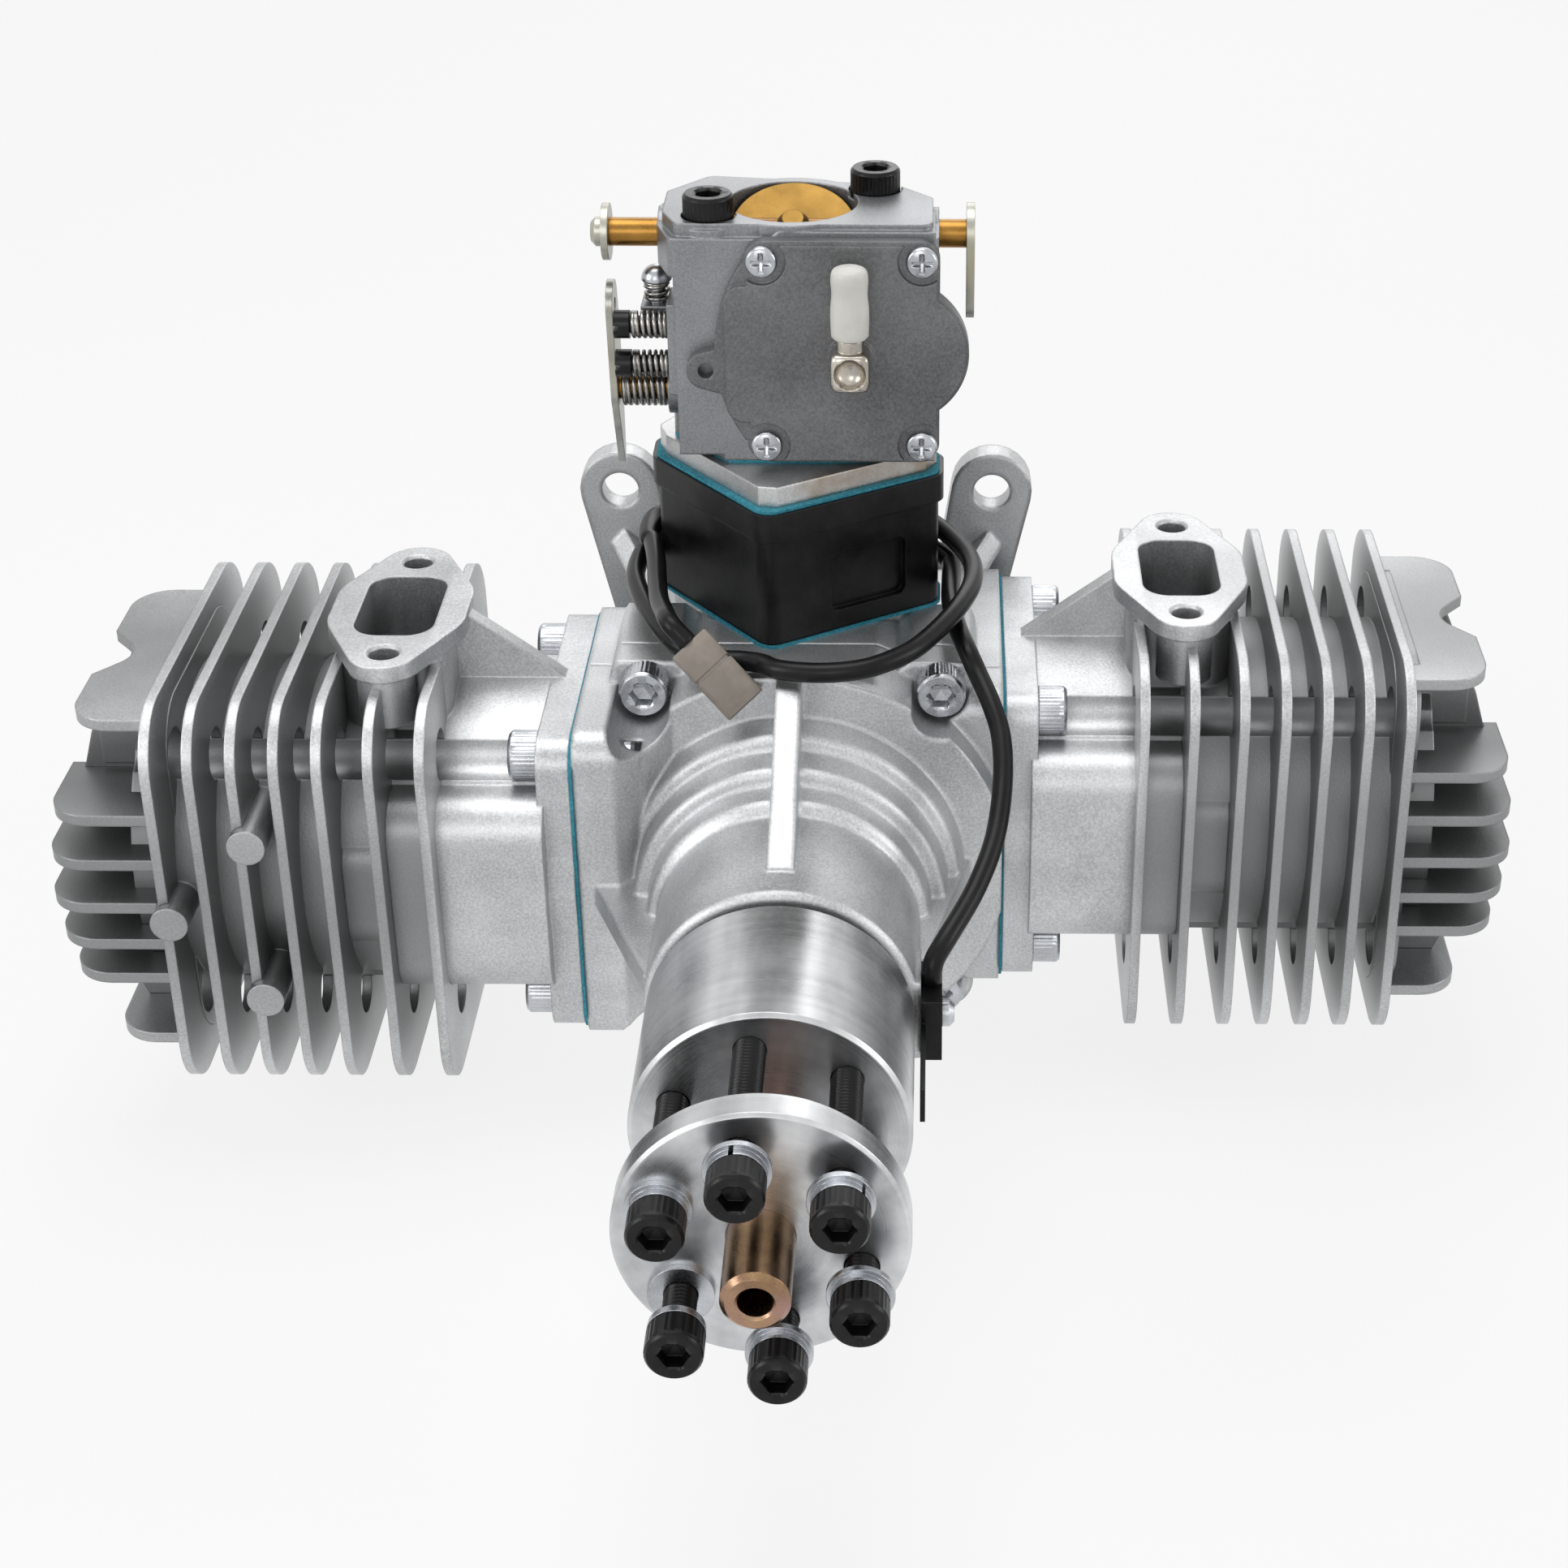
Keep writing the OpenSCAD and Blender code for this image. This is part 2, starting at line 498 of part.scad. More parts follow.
// The casting without its fins, larger by c where it passes through a fin
module core(c = 0) {
    // base flange and barrel
    ex(cyl_x, cyl_x + base_t) rr(base_y, base_z, 5.5);
    cx(barrel_r + c, cyl_x, fin_end);
    // transfer passages
    ex(cyl_x + base_t - 1, fin_at(1) - fin_t / 2) rr(fin_y - 8 + 2 * c, 37 + 2 * c, 7 + c);
    ex(fin_x, fin_at(2) - fin_t / 2) rr(fin_y - 13 + 2 * c, 22 + 2 * c, 6 + c);
    // spigot
    cx(bore / 2 + 1.7, cyl_x - 3.6, cyl_x + 1);
    posts(20, fin_y / 2 + 1.8, c);
    // head: dome, end wall and the walls beside the plug, each with a bare badge pad
    cx(head_r + 3.5 + c, fin_end - 1, fin_end + 7 + c);
    ex(fin_end - 1, fin_end + 3.4 + c) rr(50 + 2 * c, fin_z - 8 + 2 * c, 10 + c);
    for (s = [-1, 1]) {
        ey(s > 0 ? 10 : -12.6 - c, s > 0 ? 12.6 + c : -10) polygon(concat([[head_x - 2 - head_back(0) * 1.15, wall_z + c]],
            [for (i = [1 : 7]) [head_x - 2 - head_back(i) * 1.15, (4 - i) * head_pitch]],
            [[head_x - 2 - head_back(8) * 1.15, -wall_z - c], [fin_end, -wall_z - c], [fin_end, wall_z + c]]));
        translate([fin_end + 1.6, s > 0 ? 12.4 : -13.2, 2 * head_pitch + 2]) cube([12, 0.8, 2 * head_pitch - 4.4]);
    }
    // exhaust stack
    translate([ex_x, 0, 0]) {
        ez(ex_z - ex_t, ex_z) flange2d();
        ez(18, ex_z - 1) rr(ex_w + 5 + 2 * c, ex_l + 5 + 2 * c, 5 + c);
        for (s = [-1, 1]) translate([0, s * ex_s / 2, 0]) cz(4.8 + c, ex_z - 12, ex_z - 1);
    }
    ey(-1.6 - c, 1.6 + c) polygon([[cyl_x + base_t - 2, 20], [cyl_x + 3, base_z / 2], [ex_x - 11, ex_z - 0.6],
        [ex_x - 6, ex_z - 2], [ex_x - 6, 20]]);
}
module casting() difference() {
    core();
    // bore and combustion dome
    cx(bore / 2 + run_c, cyl_x - 5, crown_x + 0.8);
    translate([crown_x + 0.7, 0, 0]) rotate([0, 90, 0]) cylinder(r1 = bore / 2 - 3, r2 = 9, h = 6);
    // plug thread and seat
    cx(5, crown_x, head_x);
    cx(9.5, fin_end + 7, head_x + 5);
    // exhaust port
    translate([ex_x, 0, 0]) {
        ez(14, ex_z + 1) rr(ex_w, ex_l, 4.5);
        for (s = [-1, 1]) translate([0, s * ex_s / 2, 0]) {
            cz(2.5, ex_z - 11, ex_z + 1);
            translate([0, 0, ex_z - 0.5]) cylinder(r1 = 2.5, r2 = 3.1, h = 0.6);
        }
    }
    // transfer passages inside the wall
    for (s = [-1, 1]) translate([0, s * (bore / 2 + 2.6), 0]) ex(cyl_x + base_t, crown_x - stroke + 6) rr(5.4, 22, 2.4);
    for (s = [-1, 1]) translate([0, s * bore / 2, 0]) ex(crown_x - stroke - 2, crown_x - stroke + 6) rr(10, 22, 2.4);
    key_holes();
}
// Base bolt holes and the key holes in line with them
module key_holes() for (y = [-1, 1], z = [-1, 1]) translate([0, y * base_sy / 2, z * base_sz / 2]) {
    cx(2.7, cyl_x - 1, cyl_x + base_t + 1);
    cx(key_d / 2, cyl_x + base_t, fin_end + 1);
    cx(key_d / 2, fin_end, head_x + 10);
}
// Seven barrel fins and the outlines of the head fins, each set round the casting
module fins() difference() {
    union() {
        for (i = [0 : 6]) ex(fin_at(i) - fin_t / 2, fin_at(i) + fin_t / 2) rr(fin_y, fin_z, fin_r);
        intersection() {
            for (i = [0, 2, 3, 4, 5, 6, 8]) head_fin(i);
            translate([fin_end + fin_t / 2 + seat_c, -50, -50]) cube(100);
        }
    }
    core(seat_c);
    key_holes();
    // the fin that the exhaust stack passes is in three plates, so that collision leaves the port open
    translate([fin_at(1), 0, (base_sz - key_d) / 2 - 3]) cube([fin_t + 1, fin_y + 2, seat_c], center = true);
}
module cylinder_left() color("#c6c8ca") left() casting();
module cylinder_right() color("#c6c8ca") right() casting();
module cylinder_fins() color("#c6c8ca") {
    left() fins();
    right() fins();
}
module base_gasket() ex(seat_x, cyl_x) difference() {
    rr(base_y + 0.8, base_z + 0.8, 5.9);
    circle(bore / 2 + 1.7);
    for (y = [-1, 1], z = [-1, 1]) translate([y * base_sy / 2, z * base_sz / 2]) circle(2.7);
}
module base_gaskets() color("#35a8b8") {
    left() base_gasket();
    right() base_gasket();
}
module base_bolt_set() for (y = [-1, 1], z = [-1, 1]) translate([cyl_x + base_t, y * base_sy / 2, z * base_sz / 2])
    rotate([0, 90, 0]) cap_screw(5, 16);
module base_bolts() color("#c9cccf") {
    left() base_bolt_set();
    right() base_bolt_set();
}
module spark_plug() {
    cx(5, crown_x + 1.5, fin_end + 7);
    cx(6.6, fin_end + 7, fin_end + 8.6);
    translate([fin_end + 8.6, 0, 0]) rotate([0, 90, 0]) cylinder(r = 8 / cos(30), h = 6, $fn = 6);
}
module spark_plugs() color("#d0d2d4") {
    left() spark_plug();
    right() spark_plug();
}

// Pistons and rods
module piston() difference() {
    union() {
        cx(bore / 2 - run_c, crown_x - 9, crown_x);
        cx(bore / 2 - 2 * run_c, crown_x - piston_len, crown_x - 8);
    }
    difference() {
        cx(bore / 2 - 3.2, crown_x - piston_len - 1, crown_x - 5);
        for (s = [-1, 1]) translate([top_x, 0, 0]) cy(wrist_d / 2 + 3.4, s > 0 ? rod_w / 2 + 0.6 : -bore / 2,
            s > 0 ? bore / 2 : -rod_w / 2 - 0.6);
    }
    translate([top_x, 0, 0]) cy(wrist_d / 2, -bore, bore);
    translate([crown_x - piston_len - 1, -bore, -12.8]) cube([5.2, 2 * bore, 25.6]);
    for (x = [2.6, 6]) translate([crown_x - x - 1.2, 0, 0]) rotate([0, 90, 0]) difference() {
        cylinder(r = bore, h = 1.2);
        translate([0, 0, -1]) cylinder(r = bore / 2 - 2, h = 4);
    }
}
module piston_left() color("#b3b5b7") left() piston();
module piston_right() color("#b3b5b7") right() piston();
module rings() for (x = [2.6, 6]) translate([crown_x - x - 1.15, 0, 0]) rotate([0, 90, 0]) difference() {
    cylinder(r = bore / 2 - 0.02, h = 1.1);
    translate([0, 0, -1]) cylinder(r = bore / 2 - 2, h = 4);
    translate([-bore, -0.3, -1]) cube([bore, 0.6, 4]);
}
module piston_rings_left() color("#6f7276") left() rings();
module piston_rings_right() color("#6f7276") right() rings();
module wrist() translate([top_x, 0, 0]) difference() {
    cy(wrist_d / 2, -bore / 2 + 2.4, bore / 2 - 2.4);
    cy(wrist_d / 2 - 2, -bore, bore);
}
module wrist_pins_left() color("#c8cacc") left() wrist();
module wrist_pins_right() color("#c8cacc") right() wrist();
module conrod() difference() {
    union() {
        ey(-rod_w / 2, rod_w / 2) {
            translate([top_x, 0]) circle(wrist_d / 2 + 2.8);
            translate([crank_r, 0]) circle(eye_r);
        }
        ey(-rod_w / 2 + 1, rod_w / 2 - 1)
            polygon([[crank_r + 5, -6.6], [top_x - 4, -4.6], [top_x - 4, 4.6], [crank_r + 5, 6.6]]);
    }
    for (s = [-1, 1]) ey(s > 0 ? 1.3 : -rod_w, s > 0 ? rod_w : -1.3)
        polygon([[crank_r + eye_r + 1.5, -3.6], [top_x - wrist_d / 2 - 4.6, -2.4],
            [top_x - wrist_d / 2 - 4.6, 2.4], [crank_r + eye_r + 1.5, 3.6]]);
    translate([top_x, 0, 0]) cy(wrist_d / 2 + run_c, -rod_w, rod_w);
    translate([crank_r, 0, 0]) cy(pin_d / 2 + 2, -rod_w, rod_w);
}
module conrod_left() color("#9a9da1") left() conrod();
module conrod_right() color("#9a9da1") right() conrod();
// Crankpin with its needle bearing, riding in the big end
module crankpin() translate([crank_r, 0, 0]) {
    cy(pin_d / 2, -cheek + pin_gap, cheek - pin_gap);
    difference() {
        cy(pin_d / 2 + 2, -rod_w / 2 + 0.2, rod_w / 2 - 0.2);
        cy(pin_d / 2, -rod_w, rod_w);
    }
}
module crankpin_left() color("#d2d4d6") left() crankpin();
module crankpin_right() color("#d2d4d6") right() crankpin();

// Intake
module gasket_at(z, k) ez(z, z + gasket_t) difference() {
    at_intake() rpoly(block_outline(k), 3.2);
    at_intake() circle(passage_d / 2);
}
module intake_gaskets() color("#35a8b8") mid() {
    ez(pad_z, block_z) difference() {
        at_intake() rpoly(block_outline(0.87), 3.3);
        at_intake() square([30, 22], center = true);
    }
    gasket_at(adapter_z - gasket_t, 0.86);
    ez(carb_z - gasket_t, carb_z) difference() {
        at_intake() rpoly(block_outline(0.74), 3.6);
        at_intake() circle(passage_d / 2);
        for (s = [-1, 1]) at_intake() translate([s * cbolt_x, s * cbolt_y]) circle(2.6);
    }
}
module reed_block() color("#2b2c2e") mid() at_intake() difference() {
    union() {
        ez(block_z, block_z + block_h - 4.6) rpoly(block_outline(0.865), 3);
        ez(block_z + block_h - 5, block_z + block_h) rpoly(block_outline(0.885), 3.4);
    }
    ez(block_z - 1, block_z + block_h - 5) square([30, 22], center = true);
    ez(block_z + 1, block_z + block_h + 1) circle(passage_d / 2);
    // recessed panel on the right front face
    translate([25.1, -6.6, block_z + 9]) rotate(-57.1) translate([-0.9, -17, -6])
        rotate([90, 0, 90]) linear_extrude(4) translate([2, 6]) rr(15, 11, 1.5);
}
module reed_cage() color("#3a3c3f") mid() at_intake() difference() {
    ey(-10.8, 10.8) polygon([[-13, block_z + block_h - 5], [13, block_z + block_h - 5], [13, block_z + block_h - 7],
        [2, block_z + 1], [-2, block_z + 1], [-13, block_z + block_h - 7]]);
    ey(-9.4, 9.4) polygon([[-10, block_z + block_h - 4], [10, block_z + block_h - 4],
        [10, block_z + block_h - 7.6], [0.8, block_z + 3], [-0.8, block_z + 3], [-10, block_z + block_h - 7.6]]);
    for (s = [-1, 1], y = [-5, 5]) translate([s * 6.8, y, block_z + 7.5]) rotate([0, s * 38.6, 0])
        cube([8, 7, 8], center = true);
}
module reed_petals() color("#17181a") mid() at_intake() for (s = [-1, 1]) mirror([s > 0 ? 0 : 1, 0, 0])
    ey(-10, 10) polygon([[13.3, block_z + block_h - 7.4], [2.3, block_z + 0.6], [2.7, block_z + 0.4],
        [13.7, block_z + block_h - 7.6]]);
module carb_adapter() color("#bfc1c3") mid() at_intake() ez(adapter_z, adapter_z + adapter_t) difference() {
    polygon(cut_corners(block_outline(0.97), 2.2));
    circle(passage_d / 2);
    for (s = [-1, 1]) translate([s * cbolt_x, s * cbolt_y]) circle(2.55);
}

// Carburettor
module at_carb() mid() at_intake() children();
module carb_body() color("#8d8f92") at_carb() difference() {
    union() {
        // foot
        intersection() {
            ez(carb_z, carb_z + 4.5) rpoly(block_outline(0.72), 3.4);
            translate([-40, -cover_y, carb_z]) cube([80, 60, 5]);
        }
        // middle
        translate([-19.5, -cover_y, carb_z + 1]) cube([40, 2 * cover_y, carb_h - 8]);
        ez(carb_z + 2, carb_top - 1) for (s = [-1, 1]) translate([s * cbolt_x, s * cbolt_y]) circle(5.6);
        cz(cover_y, carb_z, carb_top);
        // top flange
        ez(carb_top - 9, carb_top - 2.3) rpoly([[-18.6, -cover_y + 2], [22.6, -cover_y + 2], [22.6, 2], [17, 8.6],
            [-14.6, 12.8], [-20.6, 5], [-20.6, -5]], 2);
        ez(carb_top - 3, carb_top) rpoly([[-17.6, -cover_y + 3], [21.6, -cover_y + 3], [21.6, 1.6], [16.3, 7.6],
            [-14, 11.8], [-19.6, 4.6], [-19.6, -5]], 2);
        // diaphragm chamber behind the round cover
        intersection() {
            translate([14.5, 0, carb_z + carb_h / 2]) cy(25.6, -cover_y, -2);
            translate([-30, -30, carb_z]) cube([54, 60, carb_h - 1]);
        }
        // shaft bosses
        translate([0, 0, choke_z]) cx(4.4, -22.6, 24.6);
        translate([0, 0, thr_z]) cx(4.8, -22, 22.5);
        // bracket of the idle screw and block of the needles
        translate([-26, -4.2, carb_top - 21.7]) cube([7, 6.2, 4.5]);
        translate([-21, -11, carb_z + 11]) cube([6, 9, 16]);
    }
    cz(carb_bore / 2, carb_z + carb_h - 12, carb_top + 1);
    cz(carb_bore / 2 - 1.4, carb_z - 1, carb_top + 1);
    for (s = [-1, 1]) translate([s * cbolt_x, s * cbolt_y, 0]) {
        cz(2.6, carb_z - 1, carb_top + 1);
        cz(4.6, carb_top - 1.2, carb_top + 1);
    }
    translate([0, 0, choke_z]) cx(shaft_c / 2 + run_c, -40, 40);
    translate([0, 0, thr_z]) cx(shaft_c / 2 + run_c, -40, 40);
    for (z = [22.2, 15.2]) translate([0, -7, carb_z + z]) cx(1.5 + run_c, -30, -16.8);
    translate([-23.4, -1.2, 0]) cz(1.5 + run_c, carb_top - 24, carb_top - 5);
    for (p = cover_holes()) translate([p[0], 0, carb_z + carb_h / 2 - 0.4 + p[1]]) cy(1.8, -cover_y - 1, -cover_y + 1.4);
}
function cover_holes() = [[-4.6, 16.2], [21.8, 16.2], [-4.4, -16.2], [21.8, -16.2]];
module cover_shape() {
    translate([8.6, 0]) rr(32.4, 38.8, 3.6);
    intersection() {
        translate([14.4, 0]) circle(27.2);
        translate([-6, 0]) square([16, 31], center = true);
    }
    translate([17.3, 0]) circle(12.4);
    link([-4, -3.2], 6, [-14.4, -3.2], 3.2);
}
module cover_base(y0, y1) translate([0, 0, carb_z + carb_h / 2 - 0.4]) ey(y0, y1) cover_shape();
module carb_cover() color("#6d6f72") at_carb() difference() {
    union() {
        cover_base(-cover_y - cover_t + 0.9, -cover_y);
        translate([0, 0, carb_z + carb_h / 2 - 0.4]) ey(-cover_y - cover_t, -cover_y - 1) difference() {
            union() {
                translate([8.6, 0]) rr(31.4, 37.8, 3);
                translate([-4, 0]) rr(14, 24, 3);
                translate([17.3, 0]) circle(11.9);
            }
            for (p = cover_holes()) translate(p) circle(4);
        }
        translate([10, 0, carb_z + carb_h / 2 - 1]) cy(4, -cover_y - cover_t - 0.8, -cover_y - 1);
    }
    for (p = cover_holes()) translate([p[0], 0, carb_z + carb_h / 2 - 0.4 + p[1]]) cy(1.8, -30, 0);
    translate([-14.4, 0, carb_z + carb_h / 2 - 3.6]) cy(1.3, -30, 0);
}
module carb_rear_cover() color("#7c7e81") at_carb() translate([0, 0, carb_z + 18.2]) ey(cover_y, cover_y + 4) difference() {
    rr(33, 27, 5);
    for (x = [-1, 1], z = [-1, 1]) translate([x * 13, z * 10]) circle(1.8);
}
module cover_screws() color("#c9cccf") at_carb() {
    for (p = cover_holes()) translate([p[0], -cover_y - cover_t + 0.9, carb_z + carb_h / 2 - 0.4 + p[1]])
        rotate([90, 0, 0]) pan_screw(3.6, cover_t + 0.4);
    for (x = [-1, 1], z = [-1, 1]) translate([x * 13, cover_y + 4, carb_z + 18.2 + z * 10])
        rotate([-90, 0, 0]) pan_screw(3.6, 4);
}
module carb_bolts() color("#1c1d1f") at_carb() for (s = [-1, 1])
    translate([s * cbolt_x, s * cbolt_y, carb_top - 1.2]) cap_screw(5, carb_h + adapter_t - 1.2);
module fuel_elbow() color("#c9c2b4") at_carb() translate([10, 0, carb_z + carb_h / 2 - 1]) {
    translate([0, -cover_y - cover_t - 4.2, 0]) cube([6.6, 6.8, 6.8], center = true);
    cy(2.2, -cover_y - cover_t - 1.2, -cover_y - cover_t - 0.8);
    translate([0, -cover_y - cover_t - 4.2, 0]) {
        cz(2.4, 3, 5.4);
        cz(1.9, 5, 13);
    }
}
module elbow_cap() color("#f2f0ea") at_carb() translate([10, -cover_y - cover_t - 4.2, carb_z + carb_h / 2 + 4.4])
    rotate_extrude() polygon([[1.9, 0], [3.2, 0], [3.25, 4], [3.05, 5], [3.2, 10.6], [2.6, 11.8], [0, 12.2], [0, 7.6],
        [1.9, 7.6]]);
module choke_shaft() color("#b08d4c") at_carb() translate([0, 0, choke_z]) {
    difference() {
        cx(shaft_c / 2, -31, 29.2);
        rotate([30, 0, 0]) {
            translate([-carb_bore / 2, -6, -0.52]) cube([carb_bore, 12, 1.04]);
            cz(1.05, 0, shaft_c);
        }
    }
}
module choke_plate() color("#b8924a") at_carb() translate([0, 0, choke_z]) rotate([30, 0, 0]) {
    difference() {
        cz(carb_bore / 2 - gap_c, -0.5, 0.5);
        for (s = [-1, 1]) translate([s * 4.6, 0, 0]) cz(0.9, -1, 1);
    }
    // the fixing screw stands on the shaft
    translate([0, 0, shaft_c / 2]) cylinder(r1 = 2.7, r2 = 1.8, h = 1.3);
    cz(1, 0, shaft_c / 2 + 0.2);
}
module choke_lever() color("#c3c6c9") at_carb() translate([0, 0, choke_z]) {
    // screwed disc at the left end
    cx(4.8, -32.2, -31);
    translate([-32.2, 0, 0]) rotate([0, -90, 0]) pan_screw(2.6, 0.1, 5);
    // lever plate at the right end
    ex(29.2, 30.6) link([0, 0], 5.2, [-1, -11], 3.4);
}
module throttle_shaft() color("#a8844a") at_carb() translate([0, 0, thr_z]) difference() {
    cx(shaft_c / 2, -30.6, 25.6);
    rotate([-8, 0, 0]) translate([-carb_bore / 2, -6, -0.42]) cube([carb_bore, 12, 0.84]);
}
module throttle_plate() color("#b8924a") at_carb() translate([0, 0, thr_z])
    intersection() {
        rotate([-8, 0, 0]) cz(carb_bore / 2 - 1.4 - gap_c, -0.4, 0.4);
        cz(carb_bore / 2 - 1.4 - gap_c, -5, 5);
    }
module throttle_lever() color("#b9b8a6") at_carb() translate([0, 0, thr_z]) {
    ex(-31.8, -30.6) difference() {
        union() {
            link([0, 0], 4.6, [-2, 15.5], 4.2);
            link([0, 0], 4.4, [2.5, -14.5], 0.8);
        }
        translate([-2, 15.5]) circle(1.2);
    }
}
// A closed coil as a stack of rings joined by a thin sleeve
module coil(r, w, a, b, n) translate([a, 0, 0]) rotate([0, 90, 0]) {
    p = (b - a - 2 * w) / (n - 1);
    difference() {
        union() {
            for (i = [0 : n - 1]) translate([0, 0, w + i * p]) rotate_extrude() translate([r, 0]) circle(w);
            cylinder(r = r + w * 0.3, h = b - a);
        }
        translate([0, 0, -1]) cylinder(r = r - w * 0.3, h = b - a + 2);
    }
}
module throttle_spring() color("#8e9296") at_carb() translate([0, 0, thr_z]) coil(3.2, 0.5, -30.4, -22.2, 8);
module idle_screw() color("#c9cccf") at_carb() translate([-23.4, -1.2, carb_top - 13.3]) {
    intersection() {
        sphere(2.6);
        translate([-4, -4, 0]) cube(8);
    }
    cz(1.5, -10, 0);
}
module idle_spring() color("#8e9296") at_carb() translate([-23.4, -1.2, carb_top - 13.4]) rotate([0, 90, 0])
    coil(1.95, 0.35, 0.1, 3.4, 4);
module needle(z) at_carb() translate([0, -7, carb_z + z]) {
    cx(1.5, -27.6, -17);
    difference() {
        cx(2.4, -30.3, -27.6);
        translate([-31, -3, -0.5]) cube([1.6, 6, 1]);
    }
}
module mixture_needle_high() color("#1e1f21") needle(22.2);
module mixture_needle_low() color("#1e1f21") needle(15.2);
module needle_springs() color("#8e9296") at_carb() for (z = [22.2, 15.2]) translate([0, -7, carb_z + z])
    coil(2.05, 0.45, -27.5, -21, 5);

// Ignition pick-up
// Route of the cable from the sensor, round behind the block, to its plug
cable_d = 3.4;
CABLE = [[24, -66, 3], [24, -66, 5], [24.6, -65, 7], [26.8, -62, 9.5], [31, -54, 13], [34.2, -45.5, 17.5],
    [35.6, -37, 23], [35.4, -30, 28], [33.8, -24.8, 31.5], [31.5, -19.3, 34.5], [29.7, -15.6, 37.2],
    [27.9, -8.4, 38.4], [27, 0.5, 38.6], [27.1, 14, 38.5], [26.5, 17.4, 38.7], [23.3, 22, 39],
    [18, 29.5, 39.3], [11.5, 37, 39.5], [7.6, 41.7, 39.6], [6, 42.8, 39.6], [4.1, 43.3, 39.6],
    [1.5, 42.8, 39.6], [-5, 38.8, 39.8], [-14, 33, 40], [-21.5, 28.2, 40], [-25.3, 25.4, 40.1],
    [-26.9, 23, 39.9], [-28.2, 17, 40.1], [-28.8, 10, 40], [-28.2, 4, 40], [-25.8, -4.6, 40],
    [-22.3, -14, 40], [-18.9, -19.6, 39.6], [-13.5, -22.2, 38.6], [-8, -22.8, 38.5], [-4.6, -24.8, 39],
    [-1.5, -28, 39.5], [5.3, -30, 40], [11.9, -29.7, 40.5], [17.2, -27, 41], [21.8, -22.4, 41.5],
    [27.4, -11.7, 42.2], [30.6, -0.4, 42.2], [30.6, 9, 42.2], [27.6, 17.5, 42.5], [22.4, 25.5, 43.1],
    [16.9, 31.5, 43.2], [10.8, 37.8, 43.3], [7.3, 42, 43.4], [5.8, 42.9, 43.4], [4.1, 43.3, 43.4],
    [1.5, 42.8, 43.4], [-5, 38.8, 43.5], [-14, 33, 43.6], [-20.8, 28.3, 43.7], [-25.3, 25.4, 43.7],
    [-27, 22.6, 43.7], [-27, 15.4, 43.7], [-26, 13.2, 43.7], [-24.8, 6, 43.6], [-23.9, -2, 43.5],
    [-22.8, -10.5, 43.8], [-21.3, -17, 44.5], [-20.5, -20.4, 45], [-19.42, -22.745, 44.71],
    [-16.812, -24.083, 42.3]];
module sweep(p, r, n) {
    m = len(p);
    t = [for (i = [0 : m - 1]) let (d = p[min(i + 1, m - 1)] - p[max(i - 1, 0)]) d / norm(d)];
    pts = [for (i = [0 : m - 1]) let (u0 = cross(t[i], [0.31, 0.17, 0.93]), u = u0 / norm(u0), v = cross(t[i], u))
        for (k = [0 : n - 1]) p[i] + r * (u * cos(k * 360 / n) + v * sin(k * 360 / n))];
    polyhedron(pts, concat([[for (k = [0 : n - 1]) k]], [[for (k = [0 : n - 1]) (m - 1) * n + n - 1 - k]],
        [for (i = [0 : m - 2], k = [0 : n - 1]) [i * n + k, (i + 1) * n + k, (i + 1) * n + (k + 1) % n]],
        [for (i = [0 : m - 2], k = [0 : n - 1]) [i * n + k, (i + 1) * n + (k + 1) % n, i * n + (k + 1) % n]]));
}
module ignition_sensor() color("#202124") mid() difference() {
    union() {
        translate([nose_r + 0.3, -72, -8]) cube([3.4, 12, 11]);
        translate([max(nose_r, hub_d / 2) + gap_c, -hub_rear - 18, -7]) cube([0.8, 20, 6]);
    }
    translate([nose_r, -63.4, -4.6]) cx(1.3, 0, 6);
}
module sensor_screw() color("#b4b7ba") mid() translate([nose_r + 3.7, -63.4, -4.6]) rotate([0, 90, 0])
    pan_screw(2.5, 6, 4.6);
module sensor_cable() color("#1b1c1e") mid() sweep(CABLE, cable_d / 2, 8);
// The plug leans on the shoulder of the case, its end face to face with the cable
module cable_plug() color("#b7ab9b") mid() translate([-12, -26.55, 37.85]) rotate([61, 0, 0]) rotate(-46.6)
    cube([14, 7.6, 2.6], center = true);

crankcase_front();
crankcase_rear();
case_bolts();
bearing_outer_races();
bearing_inner_races();
bearing_balls();
front_seal();
crankshaft();
crank_centre_web();
crank_rear_web();
drive_hub();
trigger_magnet();
prop_washer();
prop_bolts();
bolt_washers();
prop_nut();
cylinder_left();
cylinder_right();
cylinder_fins();
base_gaskets();
base_bolts();
piston_left();
piston_right();
piston_rings_left();
piston_rings_right();
wrist_pins_left();
wrist_pins_right();
conrod_left();
conrod_right();
crankpin_left();
crankpin_right();
spark_plugs();
intake_gaskets();
reed_block();
reed_cage();
reed_petals();
carb_adapter();
carb_body();
carb_cover();
carb_rear_cover();
cover_screws();
carb_bolts();
fuel_elbow();
elbow_cap();
choke_shaft();
choke_plate();
choke_lever();
throttle_shaft();
throttle_plate();
throttle_lever();
throttle_spring();
idle_screw();
idle_spring();
mixture_needle_high();
mixture_needle_low();
needle_springs();
ignition_sensor();
sensor_screw();
sensor_cable();
cable_plug();
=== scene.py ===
"""Flat twin two-stroke model aircraft engine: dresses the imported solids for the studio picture.

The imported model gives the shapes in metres. +Z is the carburettor side and -Y the propeller end.
This file adds the cable and its plug, the springs, threads and screw heads, the fuel elbow and the
intake's gaskets, and gives every piece its finish.
"""
from __future__ import annotations

import json
import logging
import math
from dataclasses import dataclass, field
from enum import Enum
from typing import Sequence, Union

